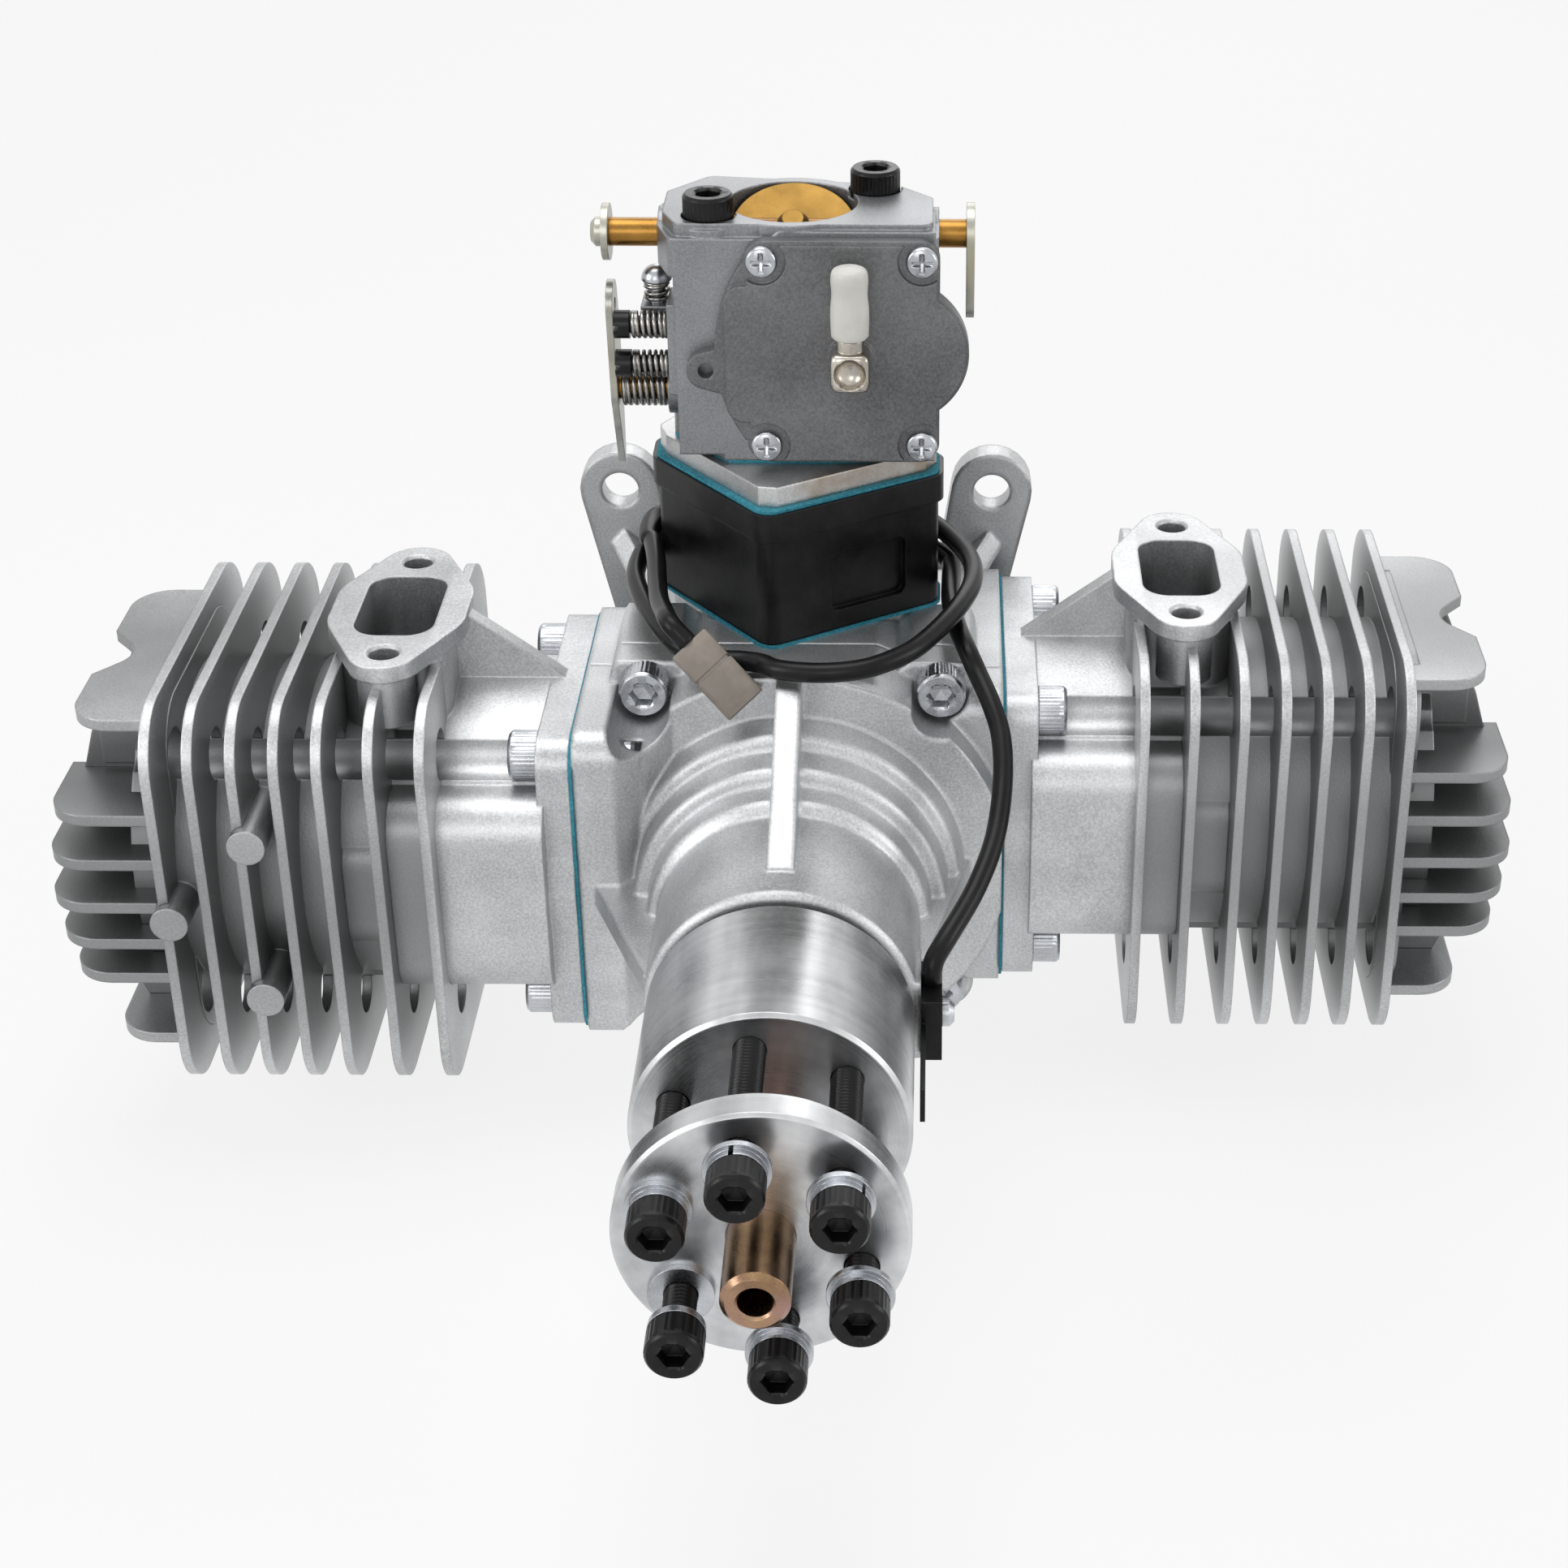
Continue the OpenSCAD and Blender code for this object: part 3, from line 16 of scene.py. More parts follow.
import bmesh
import bpy
import numpy as np
from mathutils import Matrix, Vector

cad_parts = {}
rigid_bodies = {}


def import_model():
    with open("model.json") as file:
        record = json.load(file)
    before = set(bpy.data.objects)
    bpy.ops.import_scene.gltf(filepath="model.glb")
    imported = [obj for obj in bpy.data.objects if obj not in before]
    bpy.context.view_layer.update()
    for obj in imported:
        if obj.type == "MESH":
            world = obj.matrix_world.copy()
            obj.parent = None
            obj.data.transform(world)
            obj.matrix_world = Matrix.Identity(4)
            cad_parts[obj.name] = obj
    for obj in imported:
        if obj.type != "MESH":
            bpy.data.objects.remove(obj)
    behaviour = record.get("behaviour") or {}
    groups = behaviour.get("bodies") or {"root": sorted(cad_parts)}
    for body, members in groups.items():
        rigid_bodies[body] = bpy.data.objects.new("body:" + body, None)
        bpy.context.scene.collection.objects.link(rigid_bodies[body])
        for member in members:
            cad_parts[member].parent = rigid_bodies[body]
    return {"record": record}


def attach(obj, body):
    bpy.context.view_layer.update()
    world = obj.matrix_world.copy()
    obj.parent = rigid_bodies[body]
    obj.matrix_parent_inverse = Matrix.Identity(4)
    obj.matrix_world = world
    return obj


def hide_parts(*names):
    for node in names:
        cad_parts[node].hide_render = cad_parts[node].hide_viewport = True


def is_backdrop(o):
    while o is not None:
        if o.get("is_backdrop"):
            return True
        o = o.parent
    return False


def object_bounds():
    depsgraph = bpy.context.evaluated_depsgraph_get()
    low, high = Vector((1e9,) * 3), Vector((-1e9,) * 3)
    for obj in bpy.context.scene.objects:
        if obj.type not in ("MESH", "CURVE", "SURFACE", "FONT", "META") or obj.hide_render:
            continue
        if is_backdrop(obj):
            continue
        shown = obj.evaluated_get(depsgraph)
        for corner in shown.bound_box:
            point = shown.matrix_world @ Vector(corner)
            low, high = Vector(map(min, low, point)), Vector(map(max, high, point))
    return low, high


LOG = logging.getLogger("engine")
MM = 0.001
MIDDLE_Y = -46 * MM                # plane halfway between the two cylinders
INTAKE_Y = MIDDLE_Y + 15.7 * MM    # axis of the carburettor and the reed block
HELPER = (0.31, 0.17, 0.93)        # direction that no tube's path runs along
TIP = 1e-7                         # size of a ring that closes the end of a piece
THIN = 1e-4                        # share of the full section where a slab closes
Colour = tuple[float, float, float]
Value = Union[float, "Signal"]


class Along(Enum):
    """The engine axis that a round piece lies along."""

    X = 0
    Y = 1
    Z = 2

    def frame(self) -> np.ndarray:
        """Rows are the two radial directions and the axis, right-handed."""
        eye = np.eye(3)
        return np.array([eye[(self.value + 1) % 3], eye[(self.value + 2) % 3], eye[self.value]])


# Shader expressions

class Signal:
    """A shader socket that Python's operators act on."""

    def __init__(self, net: "ShaderNet", socket: bpy.types.NodeSocket) -> None:
        """Wraps one output socket of a net."""
        self.net = net
        self.socket = socket

    def __add__(self, other: Value) -> "Signal":
        """Sum."""
        return self.net.math("ADD", self, other)

    def __sub__(self, other: Value) -> "Signal":
        """Difference."""
        return self.net.math("SUBTRACT", self, other)

    def __rsub__(self, other: Value) -> "Signal":
        """Difference the other way round."""
        return self.net.math("SUBTRACT", other, self)

    def __mul__(self, other: Value) -> "Signal":
        """Product."""
        return self.net.math("MULTIPLY", self, other)

    def __pow__(self, other: Value) -> "Signal":
        """Power."""
        return self.net.math("POWER", self, other)

    __radd__ = __add__
    __rmul__ = __mul__

    def clamp(self) -> "Signal":
        """The value held between 0 and 1."""
        return self.net.node("ShaderNodeClamp", {"Value": self})

    def step(self, low: float, high: float) -> "Signal":
        """0 below low, 1 above high, straight between them."""
        return self.net.node("ShaderNodeMapRange", {"Value": self, "From Min": low, "From Max": high})


class ShaderNet:
    """The node tree of one material, with a Principled surface."""

    def __init__(self, name: str) -> None:
        """Makes the material and its surface node.

        Args:
            name: Name of the material.
        """
        self.material = bpy.data.materials.new(name)
        self.material.use_nodes = True
        self.tree = self.material.node_tree
        self.surface = self.tree.nodes["Principled BSDF"]

    def node(self, kind: str, inputs: dict | None = None, settings: dict | None = None,
             out: Union[int, str] = 0) -> Signal:
        """Adds one node.

        Args:
            kind: Type name of the node.
            inputs: Socket name or index to a value or a Signal.
            settings: Node properties.
            out: Name or index of the output that is returned.

        Returns:
            The chosen output as a Signal.
        """
        made = self.tree.nodes.new(kind)
        for key, value in (settings or {}).items():
            setattr(made, key, value)
        for key, value in (inputs or {}).items():
            if isinstance(value, Signal):
                self.tree.links.new(value.socket, made.inputs[key])
            else:
                made.inputs[key].default_value = value
        return Signal(self, made.outputs[out])

    def math(self, operation: str, first: Value, second: Value = 0.0) -> Signal:
        """One Math node on two values."""
        return self.node("ShaderNodeMath", {0: first, 1: second}, {"operation": operation})

    def place(self) -> Signal:
        """The point on the piece in metres, in the engine's frame."""
        return self.node("ShaderNodeTexCoord", out="Object")

    def parts_of(self, vector: Signal) -> tuple[Signal, Signal, Signal]:
        """The three components of a vector."""
        split = self.node("ShaderNodeSeparateXYZ", {0: vector}).socket.node
        return tuple(Signal(self, part) for part in split.outputs)

    def seen(self) -> Signal:
        """1 for rays of the camera, of mirror-like metal and of clear pieces, else 0."""
        rays = self.node("ShaderNodeLightPath").socket.node
        kinds = ("Is Camera Ray", "Is Glossy Ray", "Is Transmission Ray")
        return sum((Signal(self, rays.outputs[kind]) for kind in kinds), 0.0).clamp()

    def noise(self, where: Signal, scale: float, detail: float = 2.0, rough: float = 0.5) -> Signal:
        """Soft noise between 0 and 1 with scale features per metre."""
        return self.node("ShaderNodeTexNoise",
                         {"Vector": where, "Scale": scale, "Detail": detail, "Roughness": rough})

    def cells(self, where: Signal, scale: float) -> Signal:
        """Distance to the nearest cell centre."""
        return self.node("ShaderNodeTexVoronoi", {"Vector": where, "Scale": scale})

    def mix(self, amount: Value, first: Union[Signal, Colour], second: Union[Signal, Colour]) -> Signal:
        """Colour between first and second."""
        colours = [c if isinstance(c, Signal) else (*c, 1) for c in (first, second)]
        return self.node("ShaderNodeMix", {0: amount, 6: colours[0], 7: colours[1]}, {"data_type": "RGBA"}, 2)

    def rounded(self, radius: float) -> Signal:
        """The normal with edges rounded off to a radius in metres."""
        return self.node("ShaderNodeBevel", {"Radius": radius}, {"samples": 6})

    def bump(self, height: Signal, depth: float, under: Signal | None = None) -> Signal:
        """A normal raised by a height.

        Args:
            height: Height between 0 and 1.
            depth: What 1 stands for, in metres.
            under: Normal that the bump lies on.

        Returns:
            The new normal.
        """
        inputs = {"Height": height, "Distance": depth, "Strength": 1.0}
        if under:
            inputs["Normal"] = under
        return self.node("ShaderNodeBump", inputs)

    def finish(self, **sockets: Union[Value, Colour, Signal]) -> bpy.types.Material:
        """Sets the surface's sockets.

        Args:
            sockets: Socket names with _ for a blank, and their values.

        Returns:
            The material.
        """
        for key, value in sockets.items():
            socket = self.surface.inputs[key.replace("_", " ")]
            if isinstance(value, Signal):
                self.tree.links.new(value.socket, socket)
            else:
                socket.default_value = (*value, 1) if isinstance(value, tuple) else value
        return self.material


class WorldNet(ShaderNet):
    """The node tree of the surroundings, with its Background as the surface."""

    def __init__(self, name: str) -> None:
        """Makes the world.

        Args:
            name: Name of the world.
        """
        self.world = bpy.data.worlds.new(name)
        self.material = None
        self.world.use_nodes = True
        self.tree = self.world.node_tree
        self.surface = self.tree.nodes["Background"]


# Finishes

@dataclass(frozen=True)
class CastMetal:
    """Blasted casting: fine sparkling grain, soft stains and small pits."""

    name: str
    light: Colour
    dark: Colour
    grain: float = 2400.0
    depth: float = 0.00005
    rough: float = 0.42
    edge: float = 0.0005
    metallic: float = 0.85
    clouds: float = 45.0
    pits: float = 900.0

    def painted_gap_shade(self, net: ShaderNet, at: Signal) -> Signal | None:
        """Share of the full tone that painted shade in deep gaps leaves at a point, or None where the casting
        has no deep gaps.
        """
        return None

    def stained(self, net: ShaderNet, at: Signal, colour: Signal) -> Signal:
        """The colour after stains, of which a clean casting has none."""
        return colour

    def build(self) -> bpy.types.Material:
        """Returns the material."""
        net = ShaderNet(self.name)
        at = net.place()
        grain = net.noise(at, self.grain, 3, 0.7)
        cloud = net.noise(at, self.clouds, 4, 0.55)
        pits = net.cells(at, self.pits).step(0.0, 0.16)
        sparkle = grain.step(0.35, 0.66)
        tone = (cloud.step(0.3, 0.72) * 0.6 + sparkle * 0.5).clamp()
        # painted shade: in deep gaps the tone drops and the colour is pulled towards a darker copy of the
        # dark tone
        gap_shade_share = self.painted_gap_shade(net, at)
        tone = tone if gap_shade_share is None else tone * gap_shade_share
        shade = tuple(0.45 * c for c in self.dark)
        colour = net.mix(tone, self.dark, self.light)
        colour = colour if gap_shade_share is None else net.mix(gap_shade_share, shade, colour)
        colour = self.stained(net, at, colour)
        return net.finish(
            Base_Color=colour, Metallic=self.metallic,
            Roughness=(grain * 0.24 + cloud * 0.14 + (self.rough - 0.19)).clamp(),
            Normal=net.bump(grain * 0.8 + pits * 0.4, self.depth, net.rounded(self.edge)))


@dataclass(frozen=True)
class FinShadedCasting(CastMetal):
    """The same casting with painted shade in the gaps between the fins, darker towards the barrel."""

    axis_y: float = 8.5 * MM
    fins_from: float = 56 * MM
    root: float = 25 * MM
    rim: float = 47 * MM

    def painted_gap_shade(self, net: ShaderNet, at: Signal) -> Signal:
        """Share of the full tone after painted shade: rises with the distance from the cylinder's axis, and
        is full before the first fin.
        """
        x, y, z = net.parts_of(at)
        side = net.math("SIGN", x)
        across = y - side * self.axis_y - MIDDLE_Y
        out = ((across * across + z * z) ** 0.5).step(self.root, self.rim)
        before = 1.0 - net.math("ABSOLUTE", x).step(self.fins_from - 2 * MM, self.fins_from + 5 * MM)
        return (out * 0.8 + 0.2 + before).clamp()


@dataclass(frozen=True)
class HeatStainedMetal(CastMetal):
    """Machined plate with straw and brown patches from heat and fuel."""

    stain: Colour = (0.30, 0.22, 0.14)
    share: float = 0.75
    patches: float = 95.0
    rise: float = 9.0

    def stained(self, net: ShaderNet, at: Signal, colour: Signal) -> Signal:
        """Lays soft brown patches over the plate, most on its right."""
        x, _, _ = net.parts_of(at)
        patch = (net.noise(at, self.patches, 3, 0.6) + x * self.rise).step(0.5, 0.78)
        return net.mix(patch * self.share, colour, self.stain)


@dataclass(frozen=True)
class TurnedMetal:
    """Lathe-turned metal with rings about the crank axis."""

    name: str
    light: Colour
    dark: Colour
    rough: float = 0.24
    depth: float = 0.000012
    marks: float = 5200.0
    bands: float = 420.0
    smears: float = 70.0
    # scale of the painted reflection streaks
    streaks: float = 110.0

    def build(self) -> bpy.types.Material:
        """Returns the material. The tool marks are noise on radius and distance along the axis."""
        net = ShaderNet(self.name)
        at = net.place()
        x, y, z = net.parts_of(at)
        radius = (x * x + z * z) ** 0.5
        lathe = net.node("ShaderNodeCombineXYZ", {0: radius, 1: y})
        marks = net.noise(lathe, self.marks, 2, 0.7)
        bands = net.noise(lathe, self.bands, 2)
        smear = net.noise(at, self.smears, 4, 0.6)
        # painted reflection: long streaks that run with the axis, laid in the base colour to stand for the
        # bands of light and dark that a turned surface reflects
        streak_at = net.node("ShaderNodeCombineXYZ", {0: x, 1: y * 0.12, 2: z})
        painted_streak = net.noise(streak_at, self.streaks, 3, 0.6)
        # the tone is partly painted reflection, from the streaks, and partly smears and lathe bands
        tone = (smear * 0.35 + painted_streak * 0.5 + bands * 0.2).step(0.36, 0.68)
        return net.finish(
            Base_Color=net.mix(tone, self.dark, self.light),
            Metallic=1.0, Roughness=(marks * 0.16 + smear * 0.18 + self.rough - 0.12).clamp(),
            Normal=net.bump(marks + bands * 0.5, self.depth, net.rounded(0.00025)))


@dataclass(frozen=True)
class PlatedSteel:
    """Zinc plated, chromated or oxide-blacked steel, and brass: fine streaks and a clouded tint."""

    name: str
    light: Colour
    dark: Colour
    tint: Colour | None = None
    rough: float = 0.3
    metallic: float = 1.0
    sheen: float = 0.5
    clouds: float = 160.0
    grain: float = 3000.0
    tints: float = 70.0

    def build(self) -> bpy.types.Material:
        """Returns the material."""
        net = ShaderNet(self.name)
        at = net.place()
        cloud = net.noise(at, self.clouds, 4)
        fine = net.noise(at, self.grain, 3, 0.65)
        colour = net.mix((cloud * 0.8 + fine * 0.25).step(0.32, 0.72), self.dark, self.light)
        if self.tint:
            colour = net.mix(net.noise(at, self.tints, 2).step(0.45, 0.72), colour, self.tint)
        return net.finish(
            Base_Color=colour, Metallic=self.metallic, Specular_IOR_Level=self.sheen,
            Roughness=(fine * 0.16 + cloud * 0.2 + self.rough - 0.16).clamp(),
            Normal=net.bump(fine, 0.000012, net.rounded(0.0002)))


@dataclass(frozen=True)
class Moulded:
    """Moulded plastic or rubber with a fine skin."""

    name: str
    light: Colour
    dark: Colour
    rough: float = 0.45
    grain: float = 2200.0
    depth: float = 0.000015
    sheen: float = 0.5
    specks: float = 0.3
    dust: float = 120.0
    speck_scale: float = 260.0

    def build(self) -> bpy.types.Material:
        """Returns the material."""
        net = ShaderNet(self.name)
        at = net.place()
        skin = net.noise(at, self.grain, 2)
        dust = net.noise(at, self.dust, 4, 0.6)
        specks = 1.0 - net.cells(at, self.speck_scale).step(0.0, 0.1)
        return net.finish(
            Base_Color=net.mix((dust.step(0.4, 0.8) + specks * self.specks).clamp(), self.dark, self.light),
            Specular_IOR_Level=self.sheen, Roughness=(dust * 0.2 + self.rough - 0.1).clamp(),
            Normal=net.bump(skin, self.depth, net.rounded(0.0003)))


@dataclass(frozen=True)
class GasketPaper:
    """Dyed fibre paper with speckles and pressed fibres."""

    name: str
    light: Colour
    dark: Colour
    fibres: float = 1500.0

    def build(self) -> bpy.types.Material:
        """Returns the material."""
        net = ShaderNet(self.name)
        fibres = net.node("ShaderNodeTexNoise", {
            "Vector": net.place(), "Scale": self.fibres, "Detail": 5.0, "Distortion": 1.2})
        return net.finish(
            Base_Color=net.mix(fibres.step(0.35, 0.65), self.dark, self.light), Roughness=0.85,
            Normal=net.bump(fibres, 0.00004))


FINISHES = {
    "casting": CastMetal("cast aluminium", (0.70, 0.71, 0.72), (0.33, 0.335, 0.34), edge=0.0014),
    # the casting of the cylinders, with painted shade between the fins
    "finned": FinShadedCasting("finned casting with painted shade", (0.72, 0.73, 0.74), (0.33, 0.335, 0.34)),
    "turned": TurnedMetal("turned aluminium", (0.74, 0.75, 0.76), (0.34, 0.345, 0.355)),
    "steel": PlatedSteel("zinc plated steel", (0.62, 0.64, 0.67), (0.30, 0.31, 0.33), rough=0.26),
    "black_steel": PlatedSteel("black oxide steel", (0.012, 0.012, 0.013), (0.004, 0.004, 0.0045),
                               rough=0.28, metallic=0.06, sheen=0.24),
    "chromate": PlatedSteel("yellow chromate", (0.46, 0.30, 0.16), (0.17, 0.10, 0.055), (0.36, 0.21, 0.22),
                            rough=0.24),
    "brass": PlatedSteel("brass", (0.40, 0.21, 0.05), (0.19, 0.095, 0.022), rough=0.28),
    "tarnished": PlatedSteel("tarnished brass", (0.24, 0.14, 0.035), (0.10, 0.055, 0.014), rough=0.3),
    "piston": CastMetal("piston alloy", (0.6, 0.6, 0.61), (0.4, 0.4, 0.41), rough=0.32, depth=0.00002),
    "nickel": PlatedSteel("satin nickel", (0.60, 0.56, 0.50), (0.24, 0.22, 0.19), rough=0.22),
    "zinc": CastMetal("die cast zinc", (0.36, 0.365, 0.38), (0.17, 0.175, 0.18), depth=0.00004, rough=0.4),
    "zinc_dark": CastMetal("weathered zinc", (0.225, 0.23, 0.235), (0.085, 0.085, 0.088),
                           depth=0.00006, rough=0.46, metallic=0.7),
    "gasket": GasketPaper("gasket paper", (0.06, 0.36, 0.46), (0.02, 0.20, 0.28)),
    "black_plastic": Moulded("black moulding", (0.018, 0.018, 0.019), (0.003, 0.003, 0.0035),
                             rough=0.32, sheen=0.22),
    "white_plastic": Moulded("white cap", (0.86, 0.85, 0.81), (0.72, 0.71, 0.66), rough=0.4, specks=0.0),
    "beige_plastic": Moulded("beige plug", (0.40, 0.35, 0.30), (0.22, 0.19, 0.16), rough=0.4, specks=0.0),
    "black_rubber": Moulded("black sheath", (0.014, 0.014, 0.015), (0.004, 0.004, 0.0045),
                            rough=0.32, sheen=0.2),
    "lever": PlatedSteel("clouded zinc", (0.50, 0.50, 0.47), (0.20, 0.20, 0.18), (0.42, 0.40, 0.30),
                         rough=0.3),
    "stained": HeatStainedMetal("heat stained plate", (0.68, 0.68, 0.68), (0.38, 0.38, 0.38), rough=0.34),
    "spring": PlatedSteel("spring wire", (0.52, 0.50, 0.47), (0.16, 0.155, 0.15), rough=0.24),
}
# nodes whose finish is a variant of their slot's
SPECIAL = {"cylinder_left": "finned", "cylinder_right": "finned", "cylinder_fins": "finned",
           "throttle_lever": "lever", "choke_lever": "lever", "carb_adapter": "stained",
           "choke_plate": "tarnished"}


class PaintShop:
    """Builds each finish once and puts it on pieces."""

    def __init__(self) -> None:
        """Starts with no finish built."""
        self.built: dict[str, bpy.types.Material] = {}

    def material(self, slot: str) -> bpy.types.Material:
        """The finish of a material slot of the record."""
        if slot not in self.built:
            self.built[slot] = FINISHES[slot].build()
        return self.built[slot]

    def dress(self, piece: bpy.types.Object, slot: str) -> None:
        """Gives a piece one finish over all."""
        piece.data.materials.clear()
        piece.data.materials.append(self.material(slot))


# Surfaces

def grid_faces(rows: int, columns: int, ring: bool = True) -> np.ndarray:
    """Quads of a grid of points.

    Args:
        rows: Number of rows.
        columns: Points in each row.
        ring: Whether the last column joins the first, so that each row is a ring.

    Returns:
        Array of faces, four corners each.
    """
    r, c = np.meshgrid(np.arange(rows - 1), np.arange(columns if ring else columns - 1), indexing="ij")
    n = (c + 1) % columns
    low, high = r * columns, (r + 1) * columns
    return np.stack([low + c, low + n, high + n, high + c], -1).reshape(-1, 4)


@dataclass
class Shell:
    """Points and quads that are gathered into one mesh."""

    points: list[np.ndarray] = field(default_factory=list)
    faces: list[np.ndarray] = field(default_factory=list)
    count: int = 0

    def add(self, rings: np.ndarray) -> None:
        """Adds a closed tube. rings is (rows, columns, 3); both ends are closed by their own last ring."""
        rows, columns, _ = rings.shape
        self.points.append(rings.reshape(-1, 3))
        self.faces.append(grid_faces(rows, columns) + self.count)
        self.count += rows * columns

    def piece(self, name: str, smooth: bool = True) -> bpy.types.Object:
        """Makes the object.

        Args:
            name: Name of the piece.
            smooth: Whether its faces shade smoothly.

        Returns:
            The new object, in the scene.
        """
        points = np.concatenate(self.points)
        faces = np.concatenate(self.faces)
        mesh = bpy.data.meshes.new(name)
        mesh.vertices.add(len(points))
        mesh.vertices.foreach_set("co", points.astype(np.float32).ravel())
        mesh.loops.add(faces.size)
        mesh.loops.foreach_set("vertex_index", faces.astype(np.int32).ravel())
        mesh.polygons.add(len(faces))
        mesh.polygons.foreach_set("loop_start", np.arange(0, faces.size, 4, dtype=np.int32))
        mesh.polygons.foreach_set("use_smooth", np.full(len(faces), smooth))
        mesh.update(calc_edges=True)
        mesh.validate()
        made = bpy.data.objects.new(name, mesh)
        bpy.context.scene.collection.objects.link(made)
        return made


def smooth_route(points: np.ndarray, steps: int) -> np.ndarray:
    """Catmull-Rom curve: each span is the cubic through its two ends with the slope of their neighbours."""
    p = np.vstack([2 * points[0] - points[1], points, 2 * points[-1] - points[-2]])
    t = np.linspace(0, 1, steps, endpoint=False)[None, :, None]
    a, b, c, d = (p[i:len(p) - 3 + i, None, :] for i in range(4))
    spans = 0.5 * (2 * b + (c - a) * t + (2 * a - 5 * b + 4 * c - d) * t ** 2
                   + (3 * b - a - 3 * c + d) * t ** 3)
    return np.vstack([spans.reshape(-1, points.shape[1]), points[-1:]])


def tube(path: np.ndarray, radius: Union[float, np.ndarray], columns: int) -> np.ndarray:
    """Rings about a path.

    Each ring stands square to the path. Its first spoke is square to a fixed helper direction, which no path
    here runs along.

    Args:
        path: Points along the middle.
        radius: One radius, or one for each point.
        columns: Points in each ring.

    Returns:
        Rings with both ends closed by a ring of no size.
    """
    ahead = np.gradient(path, axis=0)
    ahead /= np.linalg.norm(ahead, axis=1, keepdims=True)
    side = np.cross(ahead, HELPER)
    side /= np.linalg.norm(side, axis=1, keepdims=True)
    up = np.cross(ahead, side)
    turn = np.linspace(0, 2 * math.pi, columns, endpoint=False)
    spokes = side[:, None] * np.cos(turn)[:, None] + up[:, None] * np.sin(turn)[:, None]
    radius = np.broadcast_to(radius, len(path))[:, None, None]
    rings = path[:, None] + radius * spokes
    ends = [np.repeat(path[i][None, None], columns, 1) + spokes[i] * TIP for i in (0, -1)]
    return np.concatenate([ends[0], rings, ends[1]])


def turned(profile: np.ndarray, along: Along, centre: Sequence[float], columns: int,
           shape: np.ndarray | None = None) -> np.ndarray:
    """Rings of a turned piece.

    Args:
        profile: Rows of (radius, distance along the axis).
        along: Axis direction.
        centre: Point that distances are counted from.
        columns: Points in each ring.
        shape: Radius factor for each row and column, for knurls, hexagons and threads.

    Returns:
        Rings as (rows, columns, 3).
    """
    turn = np.linspace(0, 2 * math.pi, columns, endpoint=False)
    radius = profile[:, :1] * (1 if shape is None else shape)
    u, v, w = along.frame()
    p, q = (radius * np.cos(turn))[..., None], (radius * np.sin(turn))[..., None]
    return np.asarray(centre) + p * u + q * v + profile[:, 1][:, None, None] * w


# Sub-assemblies

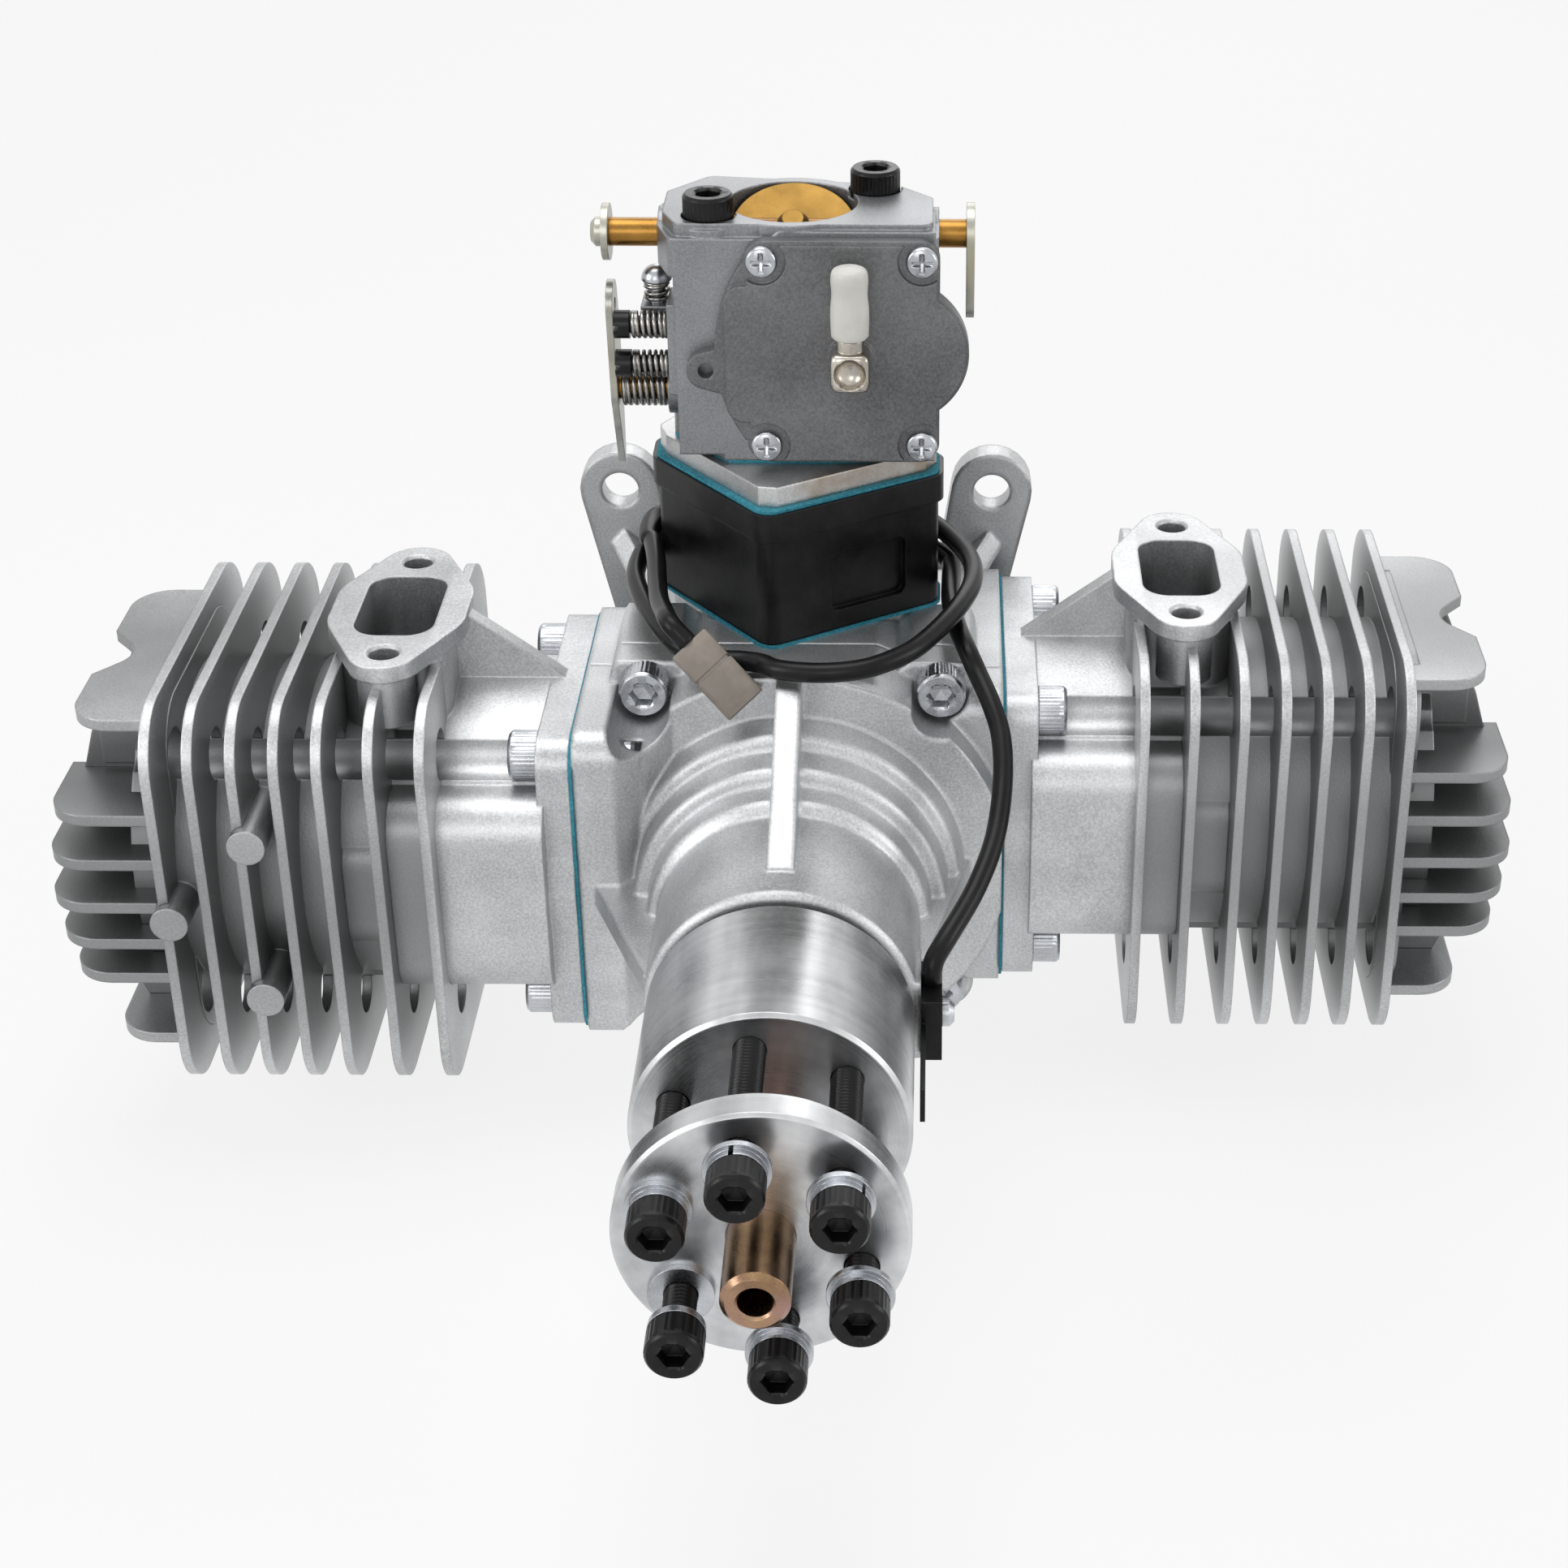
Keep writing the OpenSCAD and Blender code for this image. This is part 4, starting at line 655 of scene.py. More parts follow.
@dataclass
class SocketScrews:
    """Knurled socket head screws of one size, as one piece.

    Attributes:
        seats: Middle of each seat, the axis and the side of it that the head is on.
        length: From the seat to the end of the shank.
        columns: Points in each ring.
        knurls: Ridges around the head.
        knurl_depth: Share of the head's radius between two ridges.
    """

    name: str
    node: str
    body: str
    slot: str
    seats: list[tuple[Sequence[float], Along, float]]
    length: float
    diameter: float = 5 * MM
    pitch: float = 0.8 * MM
    threaded: bool = False
    columns: int = 96
    knurls: int = 32
    knurl_depth: float = 0.028

    def head(self, sign: float) -> tuple[np.ndarray, np.ndarray]:
        """Profile and radius factors from the seat to the bottom of the hexagon socket."""
        r, h = 0.85 * self.diameter, self.diameter
        hexagon = 0.4 * self.diameter
        # radius, height above the seat, and 1 for knurls, -1 for the hexagon or 0 for round
        rows = [(self.diameter / 2, 0, 0), (r - 0.25 * MM, 0, 0), (r, 0.2 * MM, 0.2), (r, 0.25 * MM, 1)]
        rows += [(r, z, 1) for z in np.linspace(0.3 * MM, h * 0.86, 6)]
        rows += [(r, h * 0.88, 0.3), (r - 0.1 * MM, h * 0.92, 0), (r - 0.45 * MM, h, 0)]
        rows += [(hexagon + 0.55 * MM, h, 0), (hexagon, h - 0.35 * MM, -1), (hexagon, h * 0.5, -1)]
        rows += [(hexagon * 0.98, h * 0.48, -1), (TIP, h * 0.4, 0)]
        table = np.array(rows)
        turn = np.linspace(0, 2 * math.pi, self.columns, endpoint=False)
        knurl = 1 - self.knurl_depth * (0.5 + 0.5 * np.cos(turn * self.knurls)) ** 2
        six = 1 / np.cos((turn + math.pi / 6) % (math.pi / 3) - math.pi / 6)
        kind = table[:, 2:3]
        factor = np.where(kind > 0, 1 + (knurl - 1) * kind, np.where(kind < 0, six, 1.0))
        profile = table[:, :2] * [1, sign]
        return profile, factor

    def shank(self, sign: float) -> tuple[np.ndarray, np.ndarray]:
        """Profile and radius factors of the shank.

        The thread is a triangle wave that climbs one pitch a turn and fades out in the last millimetre.
        """
        turn = np.linspace(0, 1, self.columns, endpoint=False)
        if not self.threaded:
            z = np.array([-self.length, -self.length, -self.length + 0.6 * MM, 0])
            radius = np.array([TIP, self.diameter / 2 - 0.5 * MM, self.diameter / 2, self.diameter / 2])
            return np.stack([radius, z * sign], 1), np.ones((4, self.columns))
        z = np.arange(-self.length, -0.4 * MM, self.pitch / 6)
        wave = np.abs(2 * ((z[:, None] / self.pitch - turn) % 1) - 1)
        depth = 0.54 * self.pitch / (self.diameter / 2)
        fade = np.clip((z + self.length) / MM, 0, 1)[:, None]
        factor = 1 - depth * (1 - wave) * fade - 0.12 * (1 - fade)
        profile = np.stack([np.full(len(z), self.diameter / 2), z * sign], 1)
        cap = np.array([[TIP, -self.length * sign]])
        return np.vstack([cap, profile]), np.vstack([np.ones((1, self.columns)), factor])

    def build(self, shop: PaintShop) -> None:
        """Builds all the screws and stands them for their node."""
        shell = Shell()
        for centre, along, sign in self.seats:
            profile, factor = (np.vstack(pair) for pair in zip(self.shank(sign), self.head(sign)))
            rings = turned(profile, along, centre, self.columns, factor)
            shell.add(rings[:, ::-1] if sign > 0 else rings)
        made = shell.piece(self.name)
        face_out(made)
        shade_by_angle(made, 35)
        adopt(made, self.body, shop, self.slot, self.node)


@dataclass
class PanScrews:
    """Pan head screws with a cross recess, as one piece.

    Attributes:
        seats: Middle of each seat, the axis, the side of it that the head is on, and the shank's length.
        head: Radius of the head.
        dome: Height of the head.
        arm: Length of each arm of the recess.
        slot_width: Half the width of an arm.
    """

    name: str
    node: str
    body: str
    seats: list[tuple[Sequence[float], Along, float, float]]
    head: float = 2.65 * MM
    dome: float = 2.0 * MM
    diameter: float = 3.6 * MM
    arm: float = 1.75 * MM
    slot_width: float = 0.42 * MM
    columns: int = 72

    def rings(self, centre: Sequence[float], along: Along, sign: float, length: float) -> np.ndarray:
        """Rings of one screw, from the end of its shank to the middle of its head.

        The dome falls as the square of the radius. The recess is two crossed slots whose depth falls towards
        their ends.
        """
        r = self.diameter / 2
        across = np.linspace(0.9 * self.head, TIP, 22)
        rows = [(TIP, -length), (r, -length), (r, 0), (self.head, 0), (self.head, 0.45 * self.dome),
                (0.97 * self.head, 0.6 * self.dome)]
        rows += [(a, self.dome * (1 - 0.3 * (a / self.head) ** 2)) for a in across]
        table = np.array(rows)
        turn = np.linspace(0, 2 * math.pi, self.columns, endpoint=False) + 0.4
        p, q = table[:, :1] * np.cos(turn), table[:, :1] * np.sin(turn)
        reach = np.maximum(np.abs(p), np.abs(q))
        inside = np.clip((self.slot_width - np.minimum(np.abs(p), np.abs(q))) / (0.12 * MM), 0, 1)
        cut = inside * np.clip(1 - reach / self.arm, 0, 1) ** 0.6 * 0.6 * self.dome
        cut[:len(table) - len(across)] = 0
        u, v, w = along.frame()
        height = (table[:, 1:] - cut) * sign
        return np.asarray(centre) + p[..., None] * u + q[..., None] * v + height[..., None] * w

    def build(self, shop: PaintShop) -> None:
        """Builds all the screws."""
        shell = Shell()
        for centre, along, sign, length in self.seats:
            shell.add(self.rings(centre, along, sign, length))
        made = shell.piece(self.name)
        face_out(made)
        shade_by_angle(made, 40)
        adopt(made, self.body, shop, "steel", self.node)


@dataclass
class FuelInlet:
    """Plated elbow on the diaphragm cover, and the soft cap on its spigot.

    Attributes:
        centre: Middle of the elbow's block.
        half: Half sizes of the block.
        dimple: Radius of the bowl in its front.
        deep: Depth of the bowl.
        cap_from: Height of the cap's rim above the middle.
    """

    centre: tuple[float, float, float] = (10 * MM, INTAKE_Y - 20.8 * MM, 83.75 * MM)
    half: tuple[float, float, float] = (3.3 * MM, 3.4 * MM, 3.4 * MM)
    dimple: float = 2.6 * MM
    deep: float = 2.2 * MM
    cap_from: float = 5.4 * MM

    def block(self) -> np.ndarray:
        """Rings of the block.

        Its surface is where the sixth powers of the three coordinates, each over its half size, add up
        to 1. A bowl is pressed into the front.
        """
        tilt = np.linspace(1e-4, math.pi - 1e-4, 72)[:, None]
        turn = np.linspace(0, 2 * math.pi, 72, endpoint=False)[None]
        rise = np.sin(tilt)
        way = np.stack([rise * np.cos(turn), -np.cos(tilt) + 0 * turn, rise * np.sin(turn)], -1)
        points = way / (np.abs(way) ** 6).sum(-1, keepdims=True) ** (1 / 6) * np.array(self.half)
        out = np.hypot(points[..., 0], points[..., 2])
        bowl = np.clip(1 - (out / self.dimple) ** 2, 0, 1) ** 0.5 * self.deep
        points[..., 1] += np.where(points[..., 1] < 0, bowl, 0)
        return points + self.centre

    def build(self, shop: PaintShop) -> None:
        """Builds the elbow and its cap."""
        shell = Shell()
        shell.add(self.block())
        # rows of (radius, distance from the block's middle) in millimetres
        spigot = np.array([(TIP, 3), (2.4, 3), (2.4, 5.2), (1.9, 5.4), (1.9, 12.8), (TIP, 13)]) * MM
        shell.add(turned(spigot, Along.Z, self.centre, 40))
        stem = np.array([(TIP, 3), (2.2, 3), (2.2, 4.2), (TIP, 4.2)]) * MM
        shell.add(turned(stem, Along.Y, self.centre, 40))
        elbow = shell.piece("fuel_inlet_elbow")
        face_out(elbow)
        shade_by_angle(elbow, 45)
        adopt(elbow, "case", shop, "nickel", "fuel_elbow")
        # the cap's inside, its rim, and its outside with a slight waist, in millimetres
        outline = np.array([(1.95, 7.6), (1.95, 0.1), (2.7, 0), (3.1, 0.4), (3.2, 3.2), (3.15, 5.4),
                            (2.98, 7.2), (3.02, 8.6), (3.1, 9.8), (3.0, 11), (2.6, 11.7), (1.6, 12.05),
                            (TIP, 12.2)]) * MM
        smooth = np.vstack([[(TIP, 7.6 * MM)], outline[:3], smooth_route(outline[3:], 5)])
        place = np.array(self.centre) + [0, 0, self.cap_from]
        wall = Shell()
        wall.add(turned(smooth, Along.Z, place, 48))
        cap = wall.piece("fuel_inlet_cap")
        face_out(cap)
        shade_by_angle(cap, 50)
        adopt(cap, "case", shop, "white_plastic", "elbow_cap")


@dataclass
class LeadPlug:
    """Flat three-way plug of the pick-up lead: a moulding with a latch step and three contacts.

    Attributes:
        centre: Middle of the plug.
        lean: Tilt of the plug against the level, in degrees.
        turn: Turn of its long side in its own plane, in degrees.
        size: Length, width and height.
    """

    centre: tuple[float, float, float] = (-12 * MM, MIDDLE_Y - 26.55 * MM, 37.85 * MM)
    lean: float = 61.0
    turn: float = -46.6
    size: tuple[float, float, float] = (14 * MM, 7.6 * MM, 2.6 * MM)

    def place(self, points: np.ndarray) -> np.ndarray:
        """Carries points from the plug's own axes to the engine."""
        a, b = math.radians(self.lean), math.radians(self.turn)
        flat = np.array([[math.cos(b), -math.sin(b), 0], [math.sin(b), math.cos(b), 0], [0, 0, 1]])
        tip = np.array([[1, 0, 0], [0, math.cos(a), -math.sin(a)], [0, math.sin(a), math.cos(a)]])
        return points @ (tip @ flat).T + self.centre

    def slab(self, rows: np.ndarray, width: float, height: float, offset: float = 0.0) -> np.ndarray:
        """Rings along the length, each a superellipse of the eighth power.

        Args:
            rows: Place along the length, and the share of the full width and height there.
            width: Full width.
            height: Full height.
            offset: How far the piece stands to the side.

        Returns:
            Rings in the engine's frame.
        """
        turn = np.linspace(0, 2 * math.pi, 64, endpoint=False)
        c, s = np.cos(turn), np.sin(turn)
        long = (np.abs(c) ** 8 + np.abs(s) ** 8) ** (-1 / 8)
        ring = np.stack([0 * c, c * long * width / 2, s * long * height / 2], -1)
        points = ring * rows[:, 1:, None]
        points[..., 0] += rows[:, :1]
        points[..., 1] += offset
        return self.place(points)

    def build(self, shop: PaintShop) -> bpy.types.Object:
        """Builds the plug.

        Returns:
            The moulding, at the cord's far end.
        """
        length, width, height = self.size
        half = length / 2
        # the blind end, the body with its latch groove, and the mouth that is sunk for the contacts
        rows = [(-half, THIN), (-half, 0.93), (-half + 0.25 * MM, 0.98), (-half + 5.6 * MM, 0.98),
                (-half + 5.7 * MM, 0.9), (-half + 6.2 * MM, 0.9), (-half + 6.3 * MM, 1.0),
                (half - 0.15 * MM, 1.0), (half, 0.96), (half, 0.8), (half - 1.1 * MM, 0.79),
                (half - 1.1 * MM, THIN)]
        body = Shell()
        body.add(self.slab(np.array(rows), width, height))
        made = body.piece("pickup_plug")
        face_out(made)
        shade_by_angle(made, 40)
        adopt(made, "case", shop, "beige_plastic", "cable_plug")
        pins = Shell()
        pin = np.array([(half - 1.3 * MM, THIN), (half - 1.3 * MM, 1.0), (half - 0.4 * MM, 1.0),
                        (half - 0.3 * MM, 0.7), (half - 0.3 * MM, THIN)])
        wide, high, apart = 1.1 * MM, 0.8 * MM, 2.0 * MM
        for k in (-1, 0, 1):
            pins.add(self.slab(pin, wide, high, k * apart))
        contacts = pins.piece("pickup_plug_contacts")
        face_out(contacts)
        adopt(contacts, "case", shop, "brass")
        return made


@dataclass
class GasketSheet:
    """One paper sheet of the intake, with the outline of the reed block or of the carburettor foot.

    Attributes:
        share: Size of the outline against the reed block's.
        grow: Radius that the outline grows by.
        low: Height of the lower face.
        high: Height of the upper face.
        hole: Half sizes of the opening.
        square: Whether the opening is a rectangle and not round.
        front: Where the outline is cut straight at the front, if it is.
    """

    share: float
    grow: float
    low: float
    high: float
    hole: tuple[float, float]
    square: bool = False
    front: float | None = None

    # corners of the reed block's outline, anticlockwise, in millimetres from the intake's axis
    CORNERS = ((-4.4, -25.7), (25.1, -6.6), (25.1, -0.9), (4.4, 25.7), (-25.1, 6.6), (-25.1, 0.9))

    def outline(self) -> np.ndarray:
        """The corners times a share, grown by a radius with round corners, as one loop."""
        p = np.array(self.CORNERS) * MM * self.share
        edge = np.roll(p, -1, axis=0) - p
        facing = np.arctan2(-edge[:, 0], edge[:, 1])
        before = np.roll(facing, 1)
        turn = (facing - before) % (2 * math.pi)
        angle = before[:, None] + turn[:, None] * np.linspace(0, 1, 9)
        loop = (p[:, None] + self.grow * np.stack([np.cos(angle), np.sin(angle)], -1)).reshape(-1, 2)
        ends = np.roll(loop, -1, axis=0)
        thirds = np.array([0, 1 / 3, 2 / 3])[:, None]
        loop = (loop[:, None] + (ends - loop)[:, None] * thirds).reshape(-1, 2)
        if self.front is not None:
            loop[:, 1] = np.maximum(loop[:, 1], self.front)
        return loop

    def rings(self) -> np.ndarray:
        """Four loops, outside and inside and low and high, which close on themselves.

        The hole's point on each ray from the middle is where the ray meets its ellipse, or its rectangle.
        """
        outer = self.outline()
        way = outer / np.linalg.norm(outer, axis=1, keepdims=True)
        over = np.abs(way) / np.array(self.hole)
        reach = 1 / (over.max(axis=1) if self.square else np.linalg.norm(over, axis=1))
        gap_shade_share = way * reach[:, None]
        loops = [(outer, self.low), (outer, self.high), (gap_shade_share, self.high), (gap_shade_share, self.low),
                 (outer, self.low)]
        return np.stack([np.column_stack([loop[:, 0], loop[:, 1] + INTAKE_Y, np.full(len(loop), z)])
                         for loop, z in loops])


@dataclass
class IntakeGaskets:
    """The three sheets under the reed block, the adapter and the carburettor."""

    def build(self, shop: PaintShop) -> None:
        """Builds the sheets as one piece."""
        round_hole = (10.5 * MM, 10.5 * MM)
        sheets = (GasketSheet(0.87, 3.3 * MM, 34.2 * MM, 34.7 * MM, (15 * MM, 11 * MM), square=True),
                  GasketSheet(0.86, 3.3 * MM, 59.3 * MM, 59.8 * MM, round_hole),
                  GasketSheet(0.72, 3.4 * MM, 63.5 * MM, 64.0 * MM, round_hole, front=-13 * MM))
        shell = Shell()
        for sheet in sheets:
            shell.add(sheet.rings())
        made = shell.piece("intake_gasket_sheets", smooth=False)
        weld(made)
        face_out(made)
        adopt(made, "case", shop, "gasket", "intake_gaskets")


def weld(piece: bpy.types.Object, apart: float = TIP) -> None:
    """Merges points that lie on one another."""
    work = bmesh.new()
    work.from_mesh(piece.data)
    bmesh.ops.remove_doubles(work, verts=work.verts, dist=apart)
    work.to_mesh(piece.data)
    work.free()


def face_out(piece: bpy.types.Object) -> None:
    """Turns each closed shell of a piece so that its volume is positive."""
    work = bmesh.new()
    work.from_mesh(piece.data)
    bmesh.ops.recalc_face_normals(work, faces=work.faces)
    work.to_mesh(piece.data)
    work.free()


def shade_by_angle(piece: bpy.types.Object, degrees: float) -> None:
    """Smooth faces with sharp edges where they meet at more than an angle."""
    piece.data.shade_smooth()
    piece.data.set_sharp_from_angle(angle=math.radians(degrees))


def adopt(piece: bpy.types.Object, body: str, shop: PaintShop, slot: str, *nodes: str) -> None:
    """Finishes a new piece, lets it ride on a body and stands it for solids.

    Args:
        piece: The new piece.
        body: Body that it moves with.
        shop: Where the finish comes from.
        slot: Material slot of the record.
        nodes: Solids that the piece replaces.
    """
    shop.dress(piece, slot)
    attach(piece, body)
    if nodes:
        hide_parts(*nodes)
    LOG.info("%s rides on %s", piece.name, body)


@dataclass
class PickUpCable:
    """Ignition cable: from the pick-up round the reed block twice to its plug."""

    diameter: float = 3.4 * MM
    columns: int = 20
    steps: int = 6
    # turning points in millimetres from the middle plane, as in the part's source
    route: tuple = (
        (24, -66, 3), (24, -66, 5), (24.6, -65, 7), (26.8, -62, 9.5), (31, -54, 13), (34.2, -45.5, 17.5),
        (35.6, -37, 23), (35.4, -30, 28), (33.8, -24.8, 31.5), (31.5, -19.3, 34.5), (29.7, -15.6, 37.2),
        (27.9, -8.4, 38.4), (27, 0.5, 38.6), (27.1, 14, 38.5), (26.5, 17.4, 38.7), (23.3, 22, 39),
        (18, 29.5, 39.3), (11.5, 37, 39.5), (7.6, 41.7, 39.6), (6, 42.8, 39.6), (4.1, 43.3, 39.6),
        (1.5, 42.8, 39.6), (-5, 38.8, 39.8), (-14, 33, 40), (-21.5, 28.2, 40), (-25.3, 25.4, 40.1),
        (-26.9, 23, 39.9), (-28.2, 17, 40.1), (-28.8, 10, 40), (-28.2, 4, 40), (-25.8, -4.6, 40),
        (-22.3, -14, 40), (-18.9, -19.6, 39.6), (-13.5, -22.2, 38.6), (-8, -22.8, 38.5), (-4.6, -24.8, 39),
        (-1.5, -28, 39.5), (5.3, -30, 40), (11.9, -29.7, 40.5), (17.2, -27, 41), (21.8, -22.4, 41.5),
        (27.4, -11.7, 42.2), (30.6, -0.4, 42.2), (30.6, 9, 42.2), (27.6, 17.5, 42.5), (22.4, 25.5, 43.1),
        (16.9, 31.5, 43.2), (10.8, 37.8, 43.3), (7.3, 42, 43.4), (5.8, 42.9, 43.4), (4.1, 43.3, 43.4),
        (1.5, 42.8, 43.4), (-5, 38.8, 43.5), (-14, 33, 43.6), (-20.8, 28.3, 43.7), (-25.3, 25.4, 43.7),
        (-27, 22.6, 43.7), (-27, 15.4, 43.7), (-26, 13.2, 43.7), (-24.8, 6, 43.6), (-23.9, -2, 43.5),
        (-22.8, -10.5, 43.8), (-21.3, -17, 44.5), (-20.5, -20.4, 45), (-19.42, -22.745, 44.71),
        (-16.812, -24.083, 42.3))

    def path(self) -> np.ndarray:
        """The middle line in metres."""
        points = np.array(self.route) * MM + [0, MIDDLE_Y, 0]
        return smooth_route(points, self.steps)

    def build(self, shop: PaintShop, plug: bpy.types.Object) -> None:
        """Args:
            shop: Where the finish comes from.
            plug: The plug at its far end; not used.
        """
        line = self.path()
        shell = Shell()
        shell.add(tube(line, self.diameter / 2, self.columns))
        made = shell.piece("pickup_cable")
        face_out(made)
        adopt(made, "case", shop, "black_rubber", "sensor_cable")


@dataclass
class CoilSpring:
    """Round wire wound on a helix, with closed ends.

    Attributes:
        centre: A point on the axis.
        start: Where the spring starts along its axis.
        end: Where it ends.
        radius: From the axis to the middle of the wire.
        wire: Radius of the wire.
        turns: Turns in all.
    """

    centre: tuple[float, float, float]
    along: Along
    start: float
    end: float
    radius: float
    wire: float
    turns: float

    def rings(self) -> np.ndarray:
        """Rings of the wire; the helix climbs slowly in its first and last turn."""
        t = np.linspace(0, 1, int(self.turns * 24) + 1)
        share = 1.0 / self.turns
        climb = np.interp(t, [0, share, 1 - share, 1], [0, 0.07, 0.93, 1])
        along = self.start + self.wire + (self.end - self.start - 2 * self.wire) * climb
        turn = 2 * math.pi * self.turns * t
        u, v, w = self.along.frame()
        line = (np.array(self.centre) + self.radius * (np.cos(turn)[:, None] * u + np.sin(turn)[:, None] * v)
                + along[:, None] * w)
        return tube(line, self.wire, 8)


@dataclass
class SpringSet:
    """Springs that stand for one node."""

    name: str
    node: str
    springs: list[CoilSpring]

    def build(self, shop: PaintShop) -> None:
        """Builds the springs as one piece."""
        shell = Shell()
        for spring in self.springs:
            shell.add(spring.rings())
        made = shell.piece(self.name)
        face_out(made)
        adopt(made, "case", shop, "spring", self.node)


def stand(name: str, data: bpy.types.ID, axes: Sequence[np.ndarray],
          where: Sequence[float]) -> bpy.types.Object:
    """Puts a camera or a lamp in the scene.

    Args:
        name: Name of the object.
        data: Camera or lamp data.
        axes: Directions to its right, its top and its back.
        where: Its place.

    Returns:
        The object.
    """
    made = bpy.data.objects.new(name, data)
    bpy.context.scene.collection.objects.link(made)
    matrix = np.eye(4)
    matrix[:3, 0], matrix[:3, 1], matrix[:3, 2], matrix[:3, 3] = *axes, where
    made.matrix_world = Matrix(matrix.tolist())
    return made


@dataclass
class Studio:
    """Camera at the photograph's angle, pale floor and soft lamps.

    Attributes:
        camera_at: Place of the camera, with its right and up directions next.
        floor_gap: Room between the engine's lowest point and the floor.
        ambient: Light of the surroundings on what isn't seen directly.
        near_white: Share of plain white in the floor at the engine.
        aim: Point that the lamps face.
    """

    camera_at: tuple[float, float, float] = (0.02422, -0.48787, 0.25312)
    right: tuple[float, float, float] = (0.99998, 0.00086, 0.00553)
    up: tuple[float, float, float] = (-0.00525, 0.48405, 0.87503)
    lens: float = 64.464
    sensor: float = 36.0
    shift: tuple[float, float] = (-0.09926, -0.02069)
    # name, place and side in metres, and watts of each soft box
    lamps: tuple = (
        ("top", (-0.1, 0.05, 0.8), 0.5, 2.6), ("left", (-0.75, -0.45, 0.4), 0.4, 2.6),
        ("right", (0.8, -0.25, 0.3), 0.35, 1.7), ("front", (-0.15, -0.95, 0.45), 0.4, 1.2),
        ("back", (0.1, 0.75, 0.5), 0.5, 1.2))
    aim: tuple[float, float, float] = (0.0, -0.06, 0.02)
    floor_side: float = 6.0
    floor_gap: float = 0.001
    ambient: float = 0.22
    near_white: float = 0.82

    def build_camera(self) -> None:
        """Makes the camera from its three axes."""
        data = bpy.data.cameras.new("camera")
        data.lens, data.sensor_width = self.lens, self.sensor
        data.shift_x, data.shift_y = self.shift
        data.clip_start = 0.01
        x, y = np.array(self.right), np.array(self.up)
        bpy.context.scene.camera = stand("camera", data, (x, y, np.cross(x, y)), self.camera_at)

    def build_lamps(self) -> None:
        """Soft boxes above, at the sides and in front."""
        for name, where, size, power in self.lamps:
            data = bpy.data.lights.new(name, "AREA")
            data.size, data.energy = size, power
            back = np.array(where) - self.aim
            back /= np.linalg.norm(back)
            upright = abs(back[2]) > 0.95
            side = np.cross([0, 1, 0] if upright else [0, 0, 1], back)
            side /= np.linalg.norm(side)
            stand(name, data, (side, np.cross(back, side), back), where)

    def build_floor(self, low: float) -> None:
        """A wide pale floor just under the engine."""
        shell = Shell()
        count = 9
        row = np.linspace(-self.floor_side, self.floor_side, count)
        height = np.full((count, count), low - self.floor_gap)
        grid = np.stack([*np.meshgrid(row, row, indexing="ij"), height], -1)
        shell.points.append(grid.reshape(-1, 3))
        shell.faces.append(grid_faces(count, count, ring=False)[:, ::-1])
        floor = shell.piece("floor")
        net = ShaderNet("pale floor")
        x, y, _ = net.parts_of(net.place())
        # the share of plain white rises away from the engine, so that no horizon shows
        white = ((x * x + y * y) ** 0.5).step(0.4, 2.0) * (1 - self.near_white) + self.near_white
        net.finish(Base_Color=(0.9, 0.9, 0.9), Roughness=0.9, Specular_IOR_Level=0.1)
        glow = net.node("ShaderNodeEmission", {"Color": (1, 1, 1, 1), "Strength": 1.0})
        pale = Signal(net, net.surface.outputs[0])
        shade = net.node("ShaderNodeMixShader", {0: net.seen() * white, 1: pale, 2: glow})
        net.tree.links.new(shade.socket, net.tree.nodes["Material Output"].inputs[0])
        floor.data.materials.append(net.material)
        floor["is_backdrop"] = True

    def build_world(self) -> None:
        """Even pale surroundings."""
        scene = bpy.context.scene
        net = WorldNet("studio")
        net.finish(Color=(1.0, 1.0, 1.0), Strength=net.seen() * (1 - self.ambient) + self.ambient)
        scene.world = net.world
        scene.view_settings.view_transform = "Standard"


